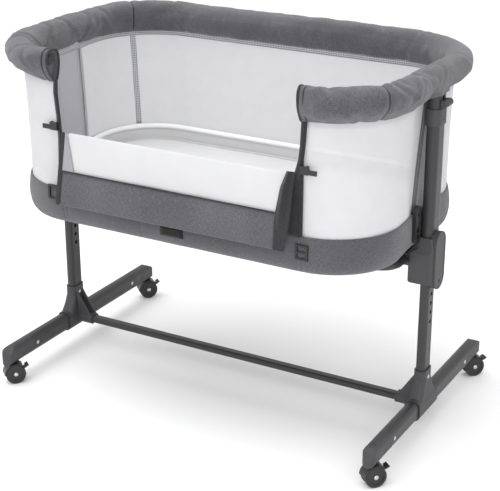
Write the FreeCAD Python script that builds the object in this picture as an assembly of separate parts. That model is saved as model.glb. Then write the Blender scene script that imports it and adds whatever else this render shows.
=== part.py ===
import FreeCAD, Part
import math
import os

# Bedside bassinet on a height-adjustable stand. Millimetres, +Z up, +X along the bassinet,
# -Y towards the drop-down side. The two legs stand at x = +-LEG_X, and the basket hangs
# between them. Everything is laid out about the middle of the legs, and moved at the end
# so that the origin lies on the floor under the middle of the whole object.

V = FreeCAD.Vector
UP = V(0, 0, 1)

# ---- driving dimensions -------------------------------------------------------------
LEG_X = 432.0            # leg centre, each side of the middle
LEG_Y = -28.0            # the legs stand in front of the middle of the feet
BASKET_Y = LEG_Y         # the basket is centred on the legs

FOOT_Y = -4.0            # middle of the foot tubes
FOOT_HALF = 202.0        # half-length of a foot tube
FOOT_W, FOOT_H, FOOT_R = 28.0, 40.0, 12.0
FOOT_Z = 68.0            # centre height of a foot tube
CAP_LENGTH = 84.0        # cap, from the tube's end to its nose
CAP_PLUG = 26.0          # how far a cap reaches into its tube
STEM_Y = 264.0           # caster stems, from the middle of the feet

LOWER_W, LOWER_D, LOWER_R = 20.0, 38.0, 9.0      # lower (inner) leg tube
UPPER_W, UPPER_D, UPPER_R = 26.0, 44.0, 12.0     # upper (outer) leg tube
TUBE_WALL = 1.5
LOWER_BOTTOM, LOWER_TOP = 93.0, 560.0
UPPER_BOTTOM, UPPER_TOP = 344.0, 733.0
NOTCH_PITCH = 20.0       # distance between height notches
NOTCH_FIRST = 250.0      # lowest notch above the floor
NOTCH_COUNT = 12

BASE_TUBE_R = 8.0        # tube that carries the basket's floor
BASE_TUBE_X = 393.0      # its end runs, which are also the lower pivots
BASE_TUBE_Z = 385.0
BASE_TUBE_HALF_Y = 142.0
BASKET_FLOOR_Z = 413.0   # underside of the basket
BAND_TOP_Z = 485.0
MATTRESS_BOTTOM_Z, MATTRESS_TOP_Z = 423.2, 455.0
WALL_TOP_Z = 700.0
SIDE_TOP_Z = 600.0       # top of the low front side, where the drop panel folds
GAP_LEFT, GAP_RIGHT = -264.0, 274.0              # drop side opening

RAIL_A, RAIL_B, RAIL_CORNER = 425.0, 253.0, 165.0
RAIL_TUBE_R = 9.0
RAIL_TUBE_Z = 748.0
RAIL_HEM_Z = 703.0

LATCH_Z = 410.0          # latch pin axis
LOOSE = 0.3              # clearance between pieces that slide past each other
RUNNING = 0.05           # radial clearance of a shaft in its bore

WHEEL_R = 22.0
WHEEL_Y0, WHEEL_Y1 = 5.0, 13.5                   # faces of one wheel, from the middle
CASTER_TRAIL = 6.0
CASTER_TURN = 50.0       # all four casters are turned this far from +X towards +Y

nodes = {}


# ---- helpers ------------------------------------------------------------------------
def rounded_face(width, depth, radius):
    """A flat rounded rectangle in the XY plane, centred on the origin."""
    x, y = width / 2 - radius, depth / 2 - radius
    edges = []
    for cx, cy, start in ((x, y, 0), (-x, y, 90), (-x, -y, 180), (x, -y, 270)):
        arc = Part.ArcOfCircle(Part.Circle(V(cx, cy, 0), UP, radius),
                               math.radians(start), math.radians(start + 90))
        edges.append(arc.toShape())
    outline = []
    for edge, following in zip(edges, edges[1:] + edges[:1]):
        outline.append(edge)
        start, end = edge.Vertexes[-1].Point, following.Vertexes[0].Point
        if start.distanceToPoint(end) > 1e-6:
            outline.append(Part.makeLine(start, end))
    return Part.Face(Part.Wire(outline))


def bar_z(width, depth, radius, x, y, z0, z1):
    """An upright rounded bar: width along X, depth along Y."""
    bar = rounded_face(width, depth, radius).extrude(V(0, 0, z1 - z0))
    bar.translate(V(x, y, z0))
    return bar


def bar_y(width, height, radius, x, z, y0, y1):
    """A rounded bar along Y: width along X, height along Z."""
    bar = rounded_face(width, height, radius).extrude(V(0, 0, y1 - y0))
    bar.rotate(V(0, 0, 0), V(1, 0, 0), -90)
    bar.translate(V(x, y0, z))
    return bar


def bar_x(depth, height, radius, y, z, x0, x1):
    """A rounded bar along X: depth along Y, height along Z."""
    bar = rounded_face(height, depth, radius).extrude(V(0, 0, x1 - x0))
    bar.rotate(V(0, 0, 0), V(0, 1, 0), 90)
    bar.translate(V(x0, y, z))
    return bar


def box(x0, x1, y0, y1, z0, z1):
    return Part.makeBox(x1 - x0, y1 - y0, z1 - z0, V(x0, y0, z0))


def cylinder(radius, start, end):
    """A round bar from one point to another."""
    axis = end - start
    return Part.makeCylinder(radius, axis.Length, start, axis)


def plate(points, axis, thickness):
    """A flat outline through the points, thickened along axis."""
    outline = Part.makePolygon(points + points[:1])
    return Part.Face(outline).extrude(axis * thickness)


def fused(shapes):
    whole = shapes[0].multiFuse(shapes[1:]) if len(shapes) > 1 else shapes[0]
    return whole.removeSplitter()


def loop_wire(half_x, half_y, corner, z):
    """A rounded rectangle about the basket's middle."""
    face = rounded_face(2 * half_x, 2 * half_y, corner)
    face.translate(V(0, BASKET_Y, z))
    return face.OuterWire


def loop_loft(levels):
    """A solid through rounded rectangles, each given as (half_x, half_y, corner, z)."""
    return Part.makeLoft([loop_wire(*level) for level in levels], True, True)


def fillet(shape, radius, wanted):
    """Rounds the edges that wanted(edge) picks."""
    return shape.makeFillet(radius, [edge for edge in shape.Edges if wanted(edge)])


def upright(edge):
    first, last = edge.Vertexes[0].Point, edge.Vertexes[-1].Point
    return abs(first.x - last.x) < 1e-6 and abs(first.y - last.y) < 1e-6


def route(points, radii):
    """A wire of straight runs joined by tangent arcs, one radius for each inner point."""
    edges = []
    here = points[0]
    for before, corner, after, radius in zip(points, points[1:], points[2:], radii):
        come = (corner - before).normalize()
        leave = (after - corner).normalize()
        turn = come.getAngle(leave)
        cut = radius * math.tan(turn / 2)
        first, last = corner - come * cut, corner + leave * cut
        inward = (leave - come).normalize()
        centre = corner + inward * (radius / math.cos(turn / 2))
        middle = centre - inward * radius
        edges.append(Part.makeLine(here, first))
        edges.append(Part.Arc(first, middle, last).toShape())
        here = last
    edges.append(Part.makeLine(here, points[-1]))
    return Part.Wire(edges)


def pipe(wire, radius):
    """A round bar along a wire."""
    edge = wire.Edges[0]
    start, heading = edge.valueAt(edge.FirstParameter), edge.tangentAt(edge.FirstParameter)
    section = Part.Wire(Part.makeCircle(radius, start, heading))
    return wire.makePipeShell([section], True, True)


def for_both_sides(name, right_shape):
    """Files a right-hand piece and its mirror image."""
    nodes[name + "_right"] = right_shape
    nodes[name + "_left"] = right_shape.mirror(V(0, 0, 0), V(1, 0, 0))


# ---- stand: feet, hubs, crossbar, lower legs ----------------------------------------
HUB_WALL = 3.0
HUB_HALF = 46.0          # half-length of a hub's sleeve on its foot
COLLAR_TOP_Z = 145.0     # top of a hub's collar round its leg
SOCKET_END_X = 380.0     # mouth of a hub's crossbar socket
CROSSBAR_D, CROSSBAR_H = 24.0, 14.0
SCREW_R = 2.0
SCREW_HEAD_R = 4.5


def screw_across(x0, x1, y, z):
    """A through-screw along X with a low domed head on each end."""
    shank = cylinder(SCREW_R, V(x0, y, z), V(x1, y, z))
    heads = []
    for x, out in ((x0, -1), (x1, 1)):
        dome = Part.makeSphere(6.0, V(x - out * 4.2, y, z))
        slab = box(min(x, x + out * 3), max(x, x + out * 3), y - 6, y + 6, z - 6, z + 6)
        heads.append(dome.common(slab).common(cylinder(SCREW_HEAD_R, V(x, y, z), V(x + out * 3, y, z))))
    return fused([shank] + heads)


def screw_hole(x0, x1, y, z):
    return cylinder(SCREW_R + 0.1, V(x0, y, z), V(x1, y, z))


CAP_SCREW_BACK = 15.0    # screws sit this far inside the tube's end
COLLAR_SCREW_Z = 128.0
foot_ends = ((-1, "front"), (1, "back"))


def foot_tube():
    outer = bar_y(FOOT_W, FOOT_H, FOOT_R, LEG_X, FOOT_Z, FOOT_Y - FOOT_HALF, FOOT_Y + FOOT_HALF)
    inner = bar_y(FOOT_W - 2 * TUBE_WALL, FOOT_H - 2 * TUBE_WALL, FOOT_R - TUBE_WALL, LEG_X, FOOT_Z,
                  FOOT_Y - FOOT_HALF - 1, FOOT_Y + FOOT_HALF + 1)
    tube = outer.cut(inner)
    for end, _ in foot_ends:
        y = FOOT_Y + end * (FOOT_HALF - CAP_SCREW_BACK)
        tube = tube.cut(screw_hole(LEG_X - 30, LEG_X + 30, y, FOOT_Z))
    return tube


def foot_cap(end):
    """A cap whose top rolls over into a blunt nose above the caster."""
    joint = FOOT_Y + end * FOOT_HALF
    nose = joint + end * CAP_LENGTH
    bottom, top = FOOT_Z - FOOT_H / 2, FOOT_Z + FOOT_H / 2
    roll = 34.0
    start = V(LEG_X - 30, nose - end * roll, top)
    middle = V(LEG_X - 30, nose - end * roll * (1 - math.sin(math.pi / 4)),
               top - roll * (1 - math.cos(math.pi / 4)))
    finish = V(LEG_X - 30, nose, top - roll)
    side = [Part.makeLine(V(LEG_X - 30, joint, bottom), V(LEG_X - 30, joint, top)),
            Part.makeLine(V(LEG_X - 30, joint, top), start),
            Part.Arc(start, middle, finish).toShape(),
            Part.makeLine(finish, V(LEG_X - 30, nose, bottom)),
            Part.makeLine(V(LEG_X - 30, nose, bottom), V(LEG_X - 30, joint, bottom))]
    profile = Part.Face(Part.Wire(side)).extrude(V(60, 0, 0))
    length = CAP_LENGTH + 30
    section = bar_y(FOOT_W, FOOT_H, FOOT_R, LEG_X, FOOT_Z, min(joint, joint + end * length),
                    max(joint, joint + end * length))
    plan = bar_z(FOOT_W, 2 * CAP_LENGTH, FOOT_W / 2 - 0.5, LEG_X, joint, bottom - 5, top + 5)
    body = profile.common(section).common(plan)
    inside = FOOT_W - 2 * TUBE_WALL - 0.4
    plug = bar_y(inside, FOOT_H - 2 * TUBE_WALL - 0.4, FOOT_R - TUBE_WALL - 0.2, LEG_X, FOOT_Z,
                 min(joint, joint - end * CAP_PLUG), max(joint, joint - end * CAP_PLUG))
    cap = fused([body, plug])
    stem = FOOT_Y + end * STEM_Y
    cap = cap.cut(cylinder(STEM_R + RUNNING, V(LEG_X, stem, bottom - 1), V(LEG_X, stem, STEM_TOP_Z + 1)))
    return cap.cut(screw_hole(LEG_X - 30, LEG_X + 30, joint - end * CAP_SCREW_BACK, FOOT_Z))


def hub():
    """A T-shaped joint: sleeve on the foot, collar round the leg, socket for the crossbar."""
    sleeve = bar_y(FOOT_W + 2 * HUB_WALL, FOOT_H + 2 * HUB_WALL, FOOT_R + HUB_WALL, LEG_X, FOOT_Z,
                   LEG_Y - HUB_HALF, LEG_Y + HUB_HALF)
    collar = bar_z(LOWER_W + 2 * HUB_WALL, LOWER_D + 2 * HUB_WALL, LOWER_R + HUB_WALL, LEG_X, LEG_Y,
                   FOOT_Z, COLLAR_TOP_Z)
    levels = []
    for width, depth, z in ((32, 90, 74), (31, 84, 84), (29, 66, 98), (27.4, 52, 112), (26, 44, 124)):
        level = rounded_face(width, depth, 11)
        level.translate(V(LEG_X, LEG_Y, z))
        levels.append(level.OuterWire)
    flare = Part.makeLoft(levels, True)
    socket = bar_x(CROSSBAR_D + 7, CROSSBAR_H + 7, 9.5, LEG_Y, FOOT_Z, SOCKET_END_X, LEG_X - 5)
    webs = []
    for y in (LEG_Y - 13, LEG_Y + 8):
        corners = [V(LEG_X - 10, y, 136), V(SOCKET_END_X + 3, y, FOOT_Z + 8), V(SOCKET_END_X + 3, y, FOOT_Z),
                   V(LEG_X - 10, y, FOOT_Z)]
        webs.append(plate(corners, V(0, 1, 0), 5))
    corners = [V(LEG_X - 10, LEG_Y - 8, 118), V(SOCKET_END_X + 14, LEG_Y - 8, FOOT_Z + 8),
               V(LEG_X - 10, LEG_Y - 8, FOOT_Z + 8)]
    floor = plate(corners, V(0, 1, 0), 16)
    body = fused([sleeve, collar, flare, socket, floor] + webs)
    foot_hole = bar_y(FOOT_W + 0.2, FOOT_H + 0.2, FOOT_R + 0.1, LEG_X, FOOT_Z,
                      LEG_Y - HUB_HALF - 1, LEG_Y + HUB_HALF + 1)
    leg_hole = bar_z(LOWER_W + 0.2, LOWER_D + 0.2, LOWER_R + 0.1, LEG_X, LEG_Y,
                     LOWER_BOTTOM - 0.1, COLLAR_TOP_Z + 1)
    bar_hole = bar_x(CROSSBAR_D + 0.2, CROSSBAR_H + 0.2, CROSSBAR_H / 2, LEG_Y, FOOT_Z,
                     SOCKET_END_X - 1, LEG_X - FOOT_W / 2 - 5)
    return body.cut(foot_hole).cut(leg_hole).cut(bar_hole).cut(
        screw_hole(LEG_X - 40, LEG_X + 40, LEG_Y, COLLAR_SCREW_Z))


def lower_tube():
    outer = bar_z(LOWER_W, LOWER_D, LOWER_R, LEG_X, LEG_Y, LOWER_BOTTOM, LOWER_TOP)
    inner = bar_z(LOWER_W - 2 * TUBE_WALL, LOWER_D - 2 * TUBE_WALL, LOWER_R - TUBE_WALL, LEG_X, LEG_Y,
                  LOWER_BOTTOM - 1, LOWER_TOP + 1)
    tube = outer.cut(inner)
    for notch in range(NOTCH_COUNT):
        z = NOTCH_FIRST + notch * NOTCH_PITCH
        tube = tube.cut(cylinder(4.3, V(LEG_X - 20, LEG_Y, z), V(LEG_X + 20, LEG_Y, z)))
    return tube.cut(screw_hole(LEG_X - 30, LEG_X + 30, LEG_Y, COLLAR_SCREW_Z))


def crossbar():
    end = LEG_X - FOOT_W / 2 - 6
    outer = bar_x(CROSSBAR_D, CROSSBAR_H, CROSSBAR_H / 2 - 0.1, LEG_Y, FOOT_Z, -end, end)
    inner = bar_x(CROSSBAR_D - 2 * TUBE_WALL, CROSSBAR_H - 2 * TUBE_WALL, CROSSBAR_H / 2 - TUBE_WALL - 0.1,
                  LEG_Y, FOOT_Z, -end - 1, end + 1)
    return outer.cut(inner)


def stand_screws():
    screws = []
    for side in (-1, 1):
        x = side * LEG_X
        for end, _ in foot_ends:
            y = FOOT_Y + end * (FOOT_HALF - CAP_SCREW_BACK)
            screws.append(screw_across(x - FOOT_W / 2 - 0.05, x + FOOT_W / 2 + 0.05, y, FOOT_Z))
        half = LOWER_W / 2 + HUB_WALL + 0.05
        screws.append(screw_across(x - half, x + half, LEG_Y, COLLAR_SCREW_Z))
    return Part.makeCompound(screws)


# ---- casters ------------------------------------------------------------------------
# A caster is drawn about its stem with +X along the trail, then turned and carried to its
# corner. Its twin wheels run on one axle, with the fork's web and the brake lever between.
STEM_R = 4.0
STEM_TOP_Z = 72.0
AXLE_R = 3.0
HOOD_R0, HOOD_R1 = 22.6, 25.0
LEVER_PIVOT = V(CASTER_TRAIL + 15.0, 0, WHEEL_R + 8.0)
LEVER_HUB_R = 4.0
wheel_centre = V(CASTER_TRAIL, 0, WHEEL_R)


def disc(radius, y0, y1):
    """A disc about the wheels' axis."""
    return cylinder(radius, wheel_centre + V(0, y0, 0), wheel_centre + V(0, y1, 0))


def sector(angles, radius):
    """A wedge about the wheels' axis that covers the given span of degrees."""
    points = [V(CASTER_TRAIL, -20, WHEEL_R)]
    for angle in angles:
        turn = math.radians(angle)
        points.append(V(CASTER_TRAIL + radius * math.cos(turn), -20, WHEEL_R + radius * math.sin(turn)))
    return plate(points, V(0, 1, 0), 40)


def caster_fork():
    hood = disc(HOOD_R1, -13.2, 13.2).cut(disc(HOOD_R0, -14, 14)).common(sector((48, 90, 135, 178), 60))
    web = disc(HOOD_R1 - 0.5, -4.0, 4.0).common(sector((48, 90, 135, 178), 60))
    hub_disc = disc(7.5, -4.0, 4.0)
    arm = box(CASTER_TRAIL, LEVER_PIVOT.x + 5.6, -4, 4, LEVER_PIVOT.z - 7, LEVER_PIVOT.z + 7).common(
        disc(21.0, -4, 4))
    flange = cylinder(8.0, V(0, 0, WHEEL_R + 23.5), V(0, 0, FOOT_Z - FOOT_H / 2 - LOOSE))
    neck = box(-6, 6, -3.9, 3.9, WHEEL_R + 18, WHEEL_R + 24)
    stem = cylinder(STEM_R, V(0, 0, WHEEL_R + 20), V(0, 0, STEM_TOP_Z))
    fork = fused([hood, web, hub_disc, arm, neck, flange, stem])
    seat = cylinder(LEVER_HUB_R + RUNNING, LEVER_PIVOT + V(0, -5, 0), LEVER_PIVOT + V(0, 5, 0))
    mouth = plate([LEVER_PIVOT + V(0, -5, 3.2), LEVER_PIVOT + V(16, -5, 14), LEVER_PIVOT + V(16, -5, -14),
                   LEVER_PIVOT + V(0, -5, -3.2)], V(0, 1, 0), 10)
    fork = fork.cut(seat).cut(mouth)
    return fork.cut(disc(AXLE_R, -5, 5))


def caster_wheels():
    """Two wheels with a rounded tread and a dished outer face."""
    wheels = []
    for side in (-1, 1):
        y0, y1 = side * WHEEL_Y0, side * WHEEL_Y1
        wheel = disc(WHEEL_R, min(y0, y1), max(y0, y1))
        wheel = fillet(wheel, 2.2, lambda edge: edge.Length > 2 * math.pi * (WHEEL_R - 1))
        dish = disc(15.5, min(y1, y1 - side * 1.2), max(y1, y1 - side * 1.2))
        wheel = wheel.cut(dish)
        wheels.append(wheel.cut(disc(AXLE_R + RUNNING, -20, 20)))
    return Part.makeCompound(wheels)


def caster_axle():
    """A steel axle with a domed push-on cap on each end."""
    pieces = [disc(AXLE_R, -13.0, 13.0)]
    for side in (-1, 1):
        centre = wheel_centre + V(0, side * 8.5, 0)
        half = cylinder(5.0, wheel_centre + V(0, side * 12.5, 0), wheel_centre + V(0, side * 16, 0))
        pieces.append(Part.makeSphere(6.4, centre).common(half))
    return fused(pieces)


def caster_brake_lever():
    """A pedal on a neck that leaves the web between the wheels."""
    pivot = LEVER_PIVOT
    hub_disc = cylinder(LEVER_HUB_R, pivot + V(0, -3.6, 0), pivot + V(0, 3.6, 0))
    neck = plate([pivot + V(0, -3.6, 2.4), pivot + V(9, -3.6, 7.0), pivot + V(11, -3.6, 2.6),
                  pivot + V(0, -3.6, -2.4)], V(0, 1, 0), 7.2)
    pedal = plate([pivot + V(7.5, -7.5, 4.0), pivot + V(6.0, -7.5, 7.5), pivot + V(13.5, -7.5, 11.1),
                   pivot + V(15.3, -7.5, 7.6)], V(0, 1, 0), 15)
    pedal = fillet(pedal, 0.9, lambda edge: edge.Length > 14)
    return fused([hub_disc, neck, pedal])


def place_caster(shape, side, end):
    copy = shape.copy()
    copy.rotate(V(0, 0, 0), UP, CASTER_TURN)
    copy.translate(V(side * LEG_X, FOOT_Y + end * STEM_Y, 0))
    return copy


# ---- lifting legs: upper tube, latch housing, collar, trigger -----------------------
HOUSING_X0, HOUSING_X1 = LEG_X - 32, LEG_X + 21
HOUSING_Y0, HOUSING_Y1 = LEG_Y - 32, LEG_Y + 32
HOUSING_BOTTOM, HOUSING_SHOULDER, HOUSING_NECK, HOUSING_TOP = 338.0, 402.0, 412.0, 434.0
COVER_Z0, COVER_Z1 = 324.0, 444.0
COVER_D = 50.0
RIM_WIDTH, RIM_RISE = 2.5, 0.8
COVER_X1 = LEG_X + 24.5
CLAMP_X0, CLAMP_Y0, CLAMP_Y1 = 381.0, LEG_Y - 28, LEG_Y + 28
COLLAR_Z0, COLLAR_Z1 = 656.0, 690.0
PIN_R = 4.0
SADDLE_HALF = 12.0       # half-width of the ring that holds the rail tube
SADDLE_PLAY = 1.3        # lets the rail rock when one leg stands a notch higher
LEFT_CLAMP_PLAY = 0.9    # the left base pivot is the open one of the linkage
STRIP_X = LEG_X + LOWER_W / 2 + 0.35
STRIP_THICK = 0.8
TAB_REACH = 15.57        # how far a trigger's tab stands out from its tube


def hollow_upper(extra):
    """The space that the upper tube and its clearance take up."""
    return bar_z(UPPER_W + extra, UPPER_D + extra, UPPER_R + extra / 2, LEG_X, LEG_Y, UPPER_BOTTOM, 800)


def upper_tube():
    outer = bar_z(UPPER_W, UPPER_D, UPPER_R, LEG_X, LEG_Y, UPPER_BOTTOM, UPPER_TOP)
    inner = bar_z(UPPER_W - 2 * TUBE_WALL, UPPER_D - 2 * TUBE_WALL, UPPER_R - TUBE_WALL, LEG_X, LEG_Y,
                  UPPER_BOTTOM - 1, UPPER_TOP + 1)
    tube = outer.cut(inner)
    tube = tube.cut(cylinder(PIN_R + LOOSE, V(LEG_X, LEG_Y, LATCH_Z), V(LEG_X + 20, LEG_Y, LATCH_Z)))
    slot = box(LEG_X + 5, LEG_X + 20, LEG_Y - 4.2, LEG_Y + 4.2, COLLAR_Z1 + 2, COLLAR_Z1 + 24)
    tab_slot = box(LEG_X + 5, LEG_X + 20, LEG_Y - 3.4, LEG_Y + 3.4, LATCH_Z + 6.5, LATCH_Z + 19)
    return tube.cut(slot).cut(tab_slot)


def cover_outline(grow, x0, x1):
    """The long oval of the outer cover, as a bar along X."""
    height = COVER_Z1 - COVER_Z0 + 2 * grow
    depth = COVER_D + 2 * grow
    return bar_x(depth, height, depth / 2 - 0.1, LEG_Y, (COVER_Z0 + COVER_Z1) / 2, x0, x1)


def latch_housing(pivot_clearance):
    """The casing at the foot of an upper tube, with the clamp for the base tube's end run."""
    block = box(HOUSING_X0, HOUSING_X1, HOUSING_Y0, HOUSING_Y1, HOUSING_BOTTOM, HOUSING_SHOULDER)
    block = fillet(block, 8, upright)
    block = fillet(block, 3, lambda edge: edge.BoundBox.ZMax < HOUSING_BOTTOM + 0.1)
    levels = []
    for x0, x1, half, radius, z in ((HOUSING_X0, HOUSING_X1, 32, 8, HOUSING_SHOULDER),
                                    (LEG_X - 13.4, HOUSING_X1, 29, 5, HOUSING_NECK),
                                    (LEG_X - 13.2, LEG_X + 17, 26, 5, HOUSING_TOP)):
        level = rounded_face(x1 - x0, 2 * half, radius)
        level.translate(V((x0 + x1) / 2, LEG_Y, z))
        levels.append(level.OuterWire)
    taper = Part.makeLoft(levels, True, True)
    ear = cover_outline(-0.6, LEG_X + UPPER_W / 2 - 2, HOUSING_X1)
    clamp = box(CLAMP_X0, HOUSING_X0 + 4, CLAMP_Y0, CLAMP_Y1, BASE_TUBE_Z - 13, BASE_TUBE_Z + 12)
    clamp = fillet(clamp, 3, lambda edge: edge.BoundBox.XMax < CLAMP_X0 + 0.1)
    body = fused([block, taper, ear, clamp])
    body = body.cut(hollow_upper(0.2))
    body = body.cut(bar_z(LOWER_W + 2 * LOOSE, LOWER_D + 2 * LOOSE, LOWER_R + LOOSE, LEG_X, LEG_Y,
                          HOUSING_BOTTOM - 1, UPPER_BOTTOM + 1))
    pin_chamber = cylinder(9.0, V(LEG_X + UPPER_W / 2 - 1, LEG_Y, LATCH_Z), V(HOUSING_X1 + 1, LEG_Y, LATCH_Z))
    tab_space = box(LEG_X + UPPER_W / 2 - 1, HOUSING_X1 + 1, LEG_Y - 4.5, LEG_Y + 4.5, LATCH_Z, LATCH_Z + 20)
    bore = cylinder(BASE_TUBE_R + pivot_clearance, V(BASE_TUBE_X, CLAMP_Y0 - 30, BASE_TUBE_Z),
                    V(BASE_TUBE_X, CLAMP_Y1 + 30, BASE_TUBE_Z))
    return body.cut(pin_chamber).cut(tab_space).cut(bore)


def latch_cover():
    """The long oval cover on the outside of a housing, with a raised rim."""
    plate_end = COVER_X1 - RIM_RISE
    shell = cover_outline(0, HOUSING_X1 + 0.1, COVER_X1)
    shell = fillet(shell, 1.2, lambda edge: edge.BoundBox.XMin > COVER_X1 - 0.1)
    shell = shell.cut(cover_outline(-RIM_WIDTH, plate_end, COVER_X1 + 1))
    return shell.cut(cylinder(3.2, V(plate_end - 1.5, LEG_Y, COVER_Z0 + 17), V(COVER_X1, LEG_Y, COVER_Z0 + 17)))


def collar():
    """A ring round the upper tube, under the trigger."""
    outer = bar_z(UPPER_W + 5, UPPER_D + 5, UPPER_R + 2.5, LEG_X, LEG_Y, COLLAR_Z0, COLLAR_Z1)
    outer = fillet(outer, 1.5, lambda edge: edge.BoundBox.ZLength < 0.1)
    ring = outer.cut(hollow_upper(0.2))
    return ring.cut(cylinder(2.0, V(LEG_X + 10, LEG_Y, COLLAR_Z0 + 12), V(LEG_X + 30, LEG_Y, COLLAR_Z0 + 12)))


def rail_saddle():
    """A plug in the top of an upper tube that ends in a ring round the rail tube."""
    inside_w, inside_d = UPPER_W - 2 * TUBE_WALL - 0.4, UPPER_D - 2 * TUBE_WALL - 0.4
    plug = bar_z(inside_w, inside_d, UPPER_R - TUBE_WALL - 0.2, LEG_X, LEG_Y, UPPER_TOP - 18, UPPER_TOP)
    slot_room = box(LEG_X + 5, LEG_X + 20, LEG_Y - 4.2, LEG_Y + 4.2, UPPER_TOP - 20, UPPER_TOP - 12)
    block = box(RAIL_A - SADDLE_HALF, RAIL_A + SADDLE_HALF, LEG_Y - 15, LEG_Y + 15, UPPER_TOP,
                RAIL_TUBE_Z + SADDLE_HALF)
    block = fillet(block, 5, lambda edge: abs(edge.BoundBox.YLength - 30) < 0.1
                   and edge.BoundBox.ZMin > RAIL_TUBE_Z)
    bore = cylinder(RAIL_TUBE_R + SADDLE_PLAY, V(RAIL_A, LEG_Y - 40, RAIL_TUBE_Z),
                    V(RAIL_A, LEG_Y + 40, RAIL_TUBE_Z))
    return fused([plug.cut(slot_room), block]).cut(bore)


def trigger():
    """A finger tab above the collar, with a lug through the tube's slot."""
    z0, z1 = COLLAR_Z1 + 1.5, COLLAR_Z1 + 13.5
    x0 = LEG_X + UPPER_W / 2 + LOOSE
    y = LEG_Y - 15
    tab = plate([V(x0, y, z0), V(x0, y, z1 + 2), V(x0 + 8, y, z1 + 3), V(x0 + TAB_REACH, y, z1 - 1),
                 V(x0 + TAB_REACH, y, z1 - 6), V(x0 + 7, y, z0)], V(0, 1, 0), 30)
    tab = fillet(tab, 2, lambda edge: edge.BoundBox.XMin > x0 + TAB_REACH - 0.1 and edge.BoundBox.YLength > 29)
    tab = tab.common(bar_z(2 * TAB_REACH, 30, 6, x0, LEG_Y, z0 - 1, z1 + 4))
    lug = box(STRIP_X + STRIP_THICK, x0 + 1, LEG_Y - 3.6, LEG_Y + 3.6, z0 + 1, z0 + 9)
    return fused([tab, lug])


def pull_strip():
    """A steel strip in the gap between the tubes, from the trigger down to the latch pin."""
    strip = box(STRIP_X, STRIP_X + STRIP_THICK, LEG_Y - 3, LEG_Y + 3, LATCH_Z + 7, COLLAR_Z1 + 10)
    tab = box(STRIP_X, STRIP_X + STRIP_THICK + 8, LEG_Y - 3, LEG_Y + 3, LATCH_Z + 7, LATCH_Z + 8.5)
    return fused([strip, tab])


def latch_pin():
    """The pin that drops into a notch. It is drawn just clear of the lower tube."""
    x0 = LEG_X + LOWER_W / 2 + 0.4
    pin = cylinder(PIN_R, V(x0, LEG_Y, LATCH_Z), V(x0 + 6, LEG_Y, LATCH_Z))
    flange = cylinder(6.2, V(x0 + 3, LEG_Y, LATCH_Z), V(x0 + 5, LEG_Y, LATCH_Z))
    return fused([pin, flange])


# ---- basket: tube, floor board, mattress, fabric ------------------------------------
BAND_A, BAND_B, BAND_CORNER = 416.0, 245.0, 142.0
BAND_THICK = 5.0
WALL_A, WALL_B, WALL_CORNER = 413.0, 242.0, 139.0
WALL_THICK = 3.0
WALL_LEAN = 5.0          # the walls lean in by this much up to the rail


def base_tube():
    """Ends held low in the latch housings, long runs raised to carry the floor."""
    x, half = BASE_TUBE_X, BASE_TUBE_HALF_Y
    high = BASKET_FLOOR_Z - BASE_TUBE_R
    low_y = 60.0
    corners = [V(0, BASKET_Y - half, high)]
    for side_x, side_y in ((x, -1), (x, 1), (-x, 1), (-x, -1)):
        outer = V(side_x, BASKET_Y + side_y * half, high)
        inner = V(side_x, BASKET_Y + side_y * low_y, BASE_TUBE_Z)
        corners += [outer, inner] if (side_x > 0) == (side_y < 0) else [inner, outer]
    corners.append(V(0, BASKET_Y - half, high))
    radii = [58, 70, 70, 58] * 2
    return pipe(route(corners, radii), BASE_TUBE_R).removeSplitter()


def basket_tub():
    """The fabric band round the base, with the basket's floor."""
    a, b, corner = BAND_A, BAND_B, BAND_CORNER
    outer = loop_loft([(a - 12, b - 12, corner - 12, BASKET_FLOOR_Z), (a - 2, b - 2, corner - 2, BASKET_FLOOR_Z + 7),
                       (a, b, corner, BASKET_FLOOR_Z + 20), (a - 2, b - 2, corner - 2, BAND_TOP_Z)])
    inset = BAND_THICK + 2
    inner = loop_loft([(a - 14, b - 14, corner - 14, BASKET_FLOOR_Z + 2),
                       (a - inset, b - inset, corner - inset, BASKET_FLOOR_Z + 14),
                       (a - inset, b - inset, corner - inset, BAND_TOP_Z + 1)])
    return outer.cut(inner)


def base_board():
    inset = 15.0
    return loop_loft([(BAND_A - inset, BAND_B - inset, BAND_CORNER - inset, BASKET_FLOOR_Z + 2.2),
                      (BAND_A - inset, BAND_B - inset, BAND_CORNER - inset, MATTRESS_BOTTOM_Z - 0.2)])


def mattress():
    inset = 16.0
    pad = loop_loft([(BAND_A - inset, BAND_B - inset, BAND_CORNER - inset, MATTRESS_BOTTOM_Z),
                     (BAND_A - inset, BAND_B - inset, BAND_CORNER - inset, MATTRESS_TOP_Z)])
    return fillet(pad, 7, lambda edge: edge.BoundBox.ZMin > MATTRESS_TOP_Z - 0.1)


def wall_ring():
    """The whole ring of wall fabric, from the band to the rail."""
    rings = []
    for inset, low, high in ((0, 0, 0), (WALL_THICK, -1, 1)):
        a, b, corner = WALL_A - inset, WALL_B - inset, WALL_CORNER - inset
        lean = WALL_LEAN
        rings.append(loop_loft([(a, b, corner, BAND_TOP_Z + 0.3 + low),
                                (a - lean, b - lean, corner - lean, WALL_TOP_Z + high)]))
    return rings[0].cut(rings[1])


def front_gap(margin, z0, z1):
    return box(GAP_LEFT - margin, GAP_RIGHT + margin, BASKET_Y - 300, BASKET_Y - 150, z0, z1)


def side_walls():
    return wall_ring().cut(front_gap(0, BAND_TOP_Z - 5, WALL_TOP_Z + 5))


def front_wall():
    return wall_ring().common(front_gap(-0.3, BAND_TOP_Z - 5, SIDE_TOP_Z))


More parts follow.
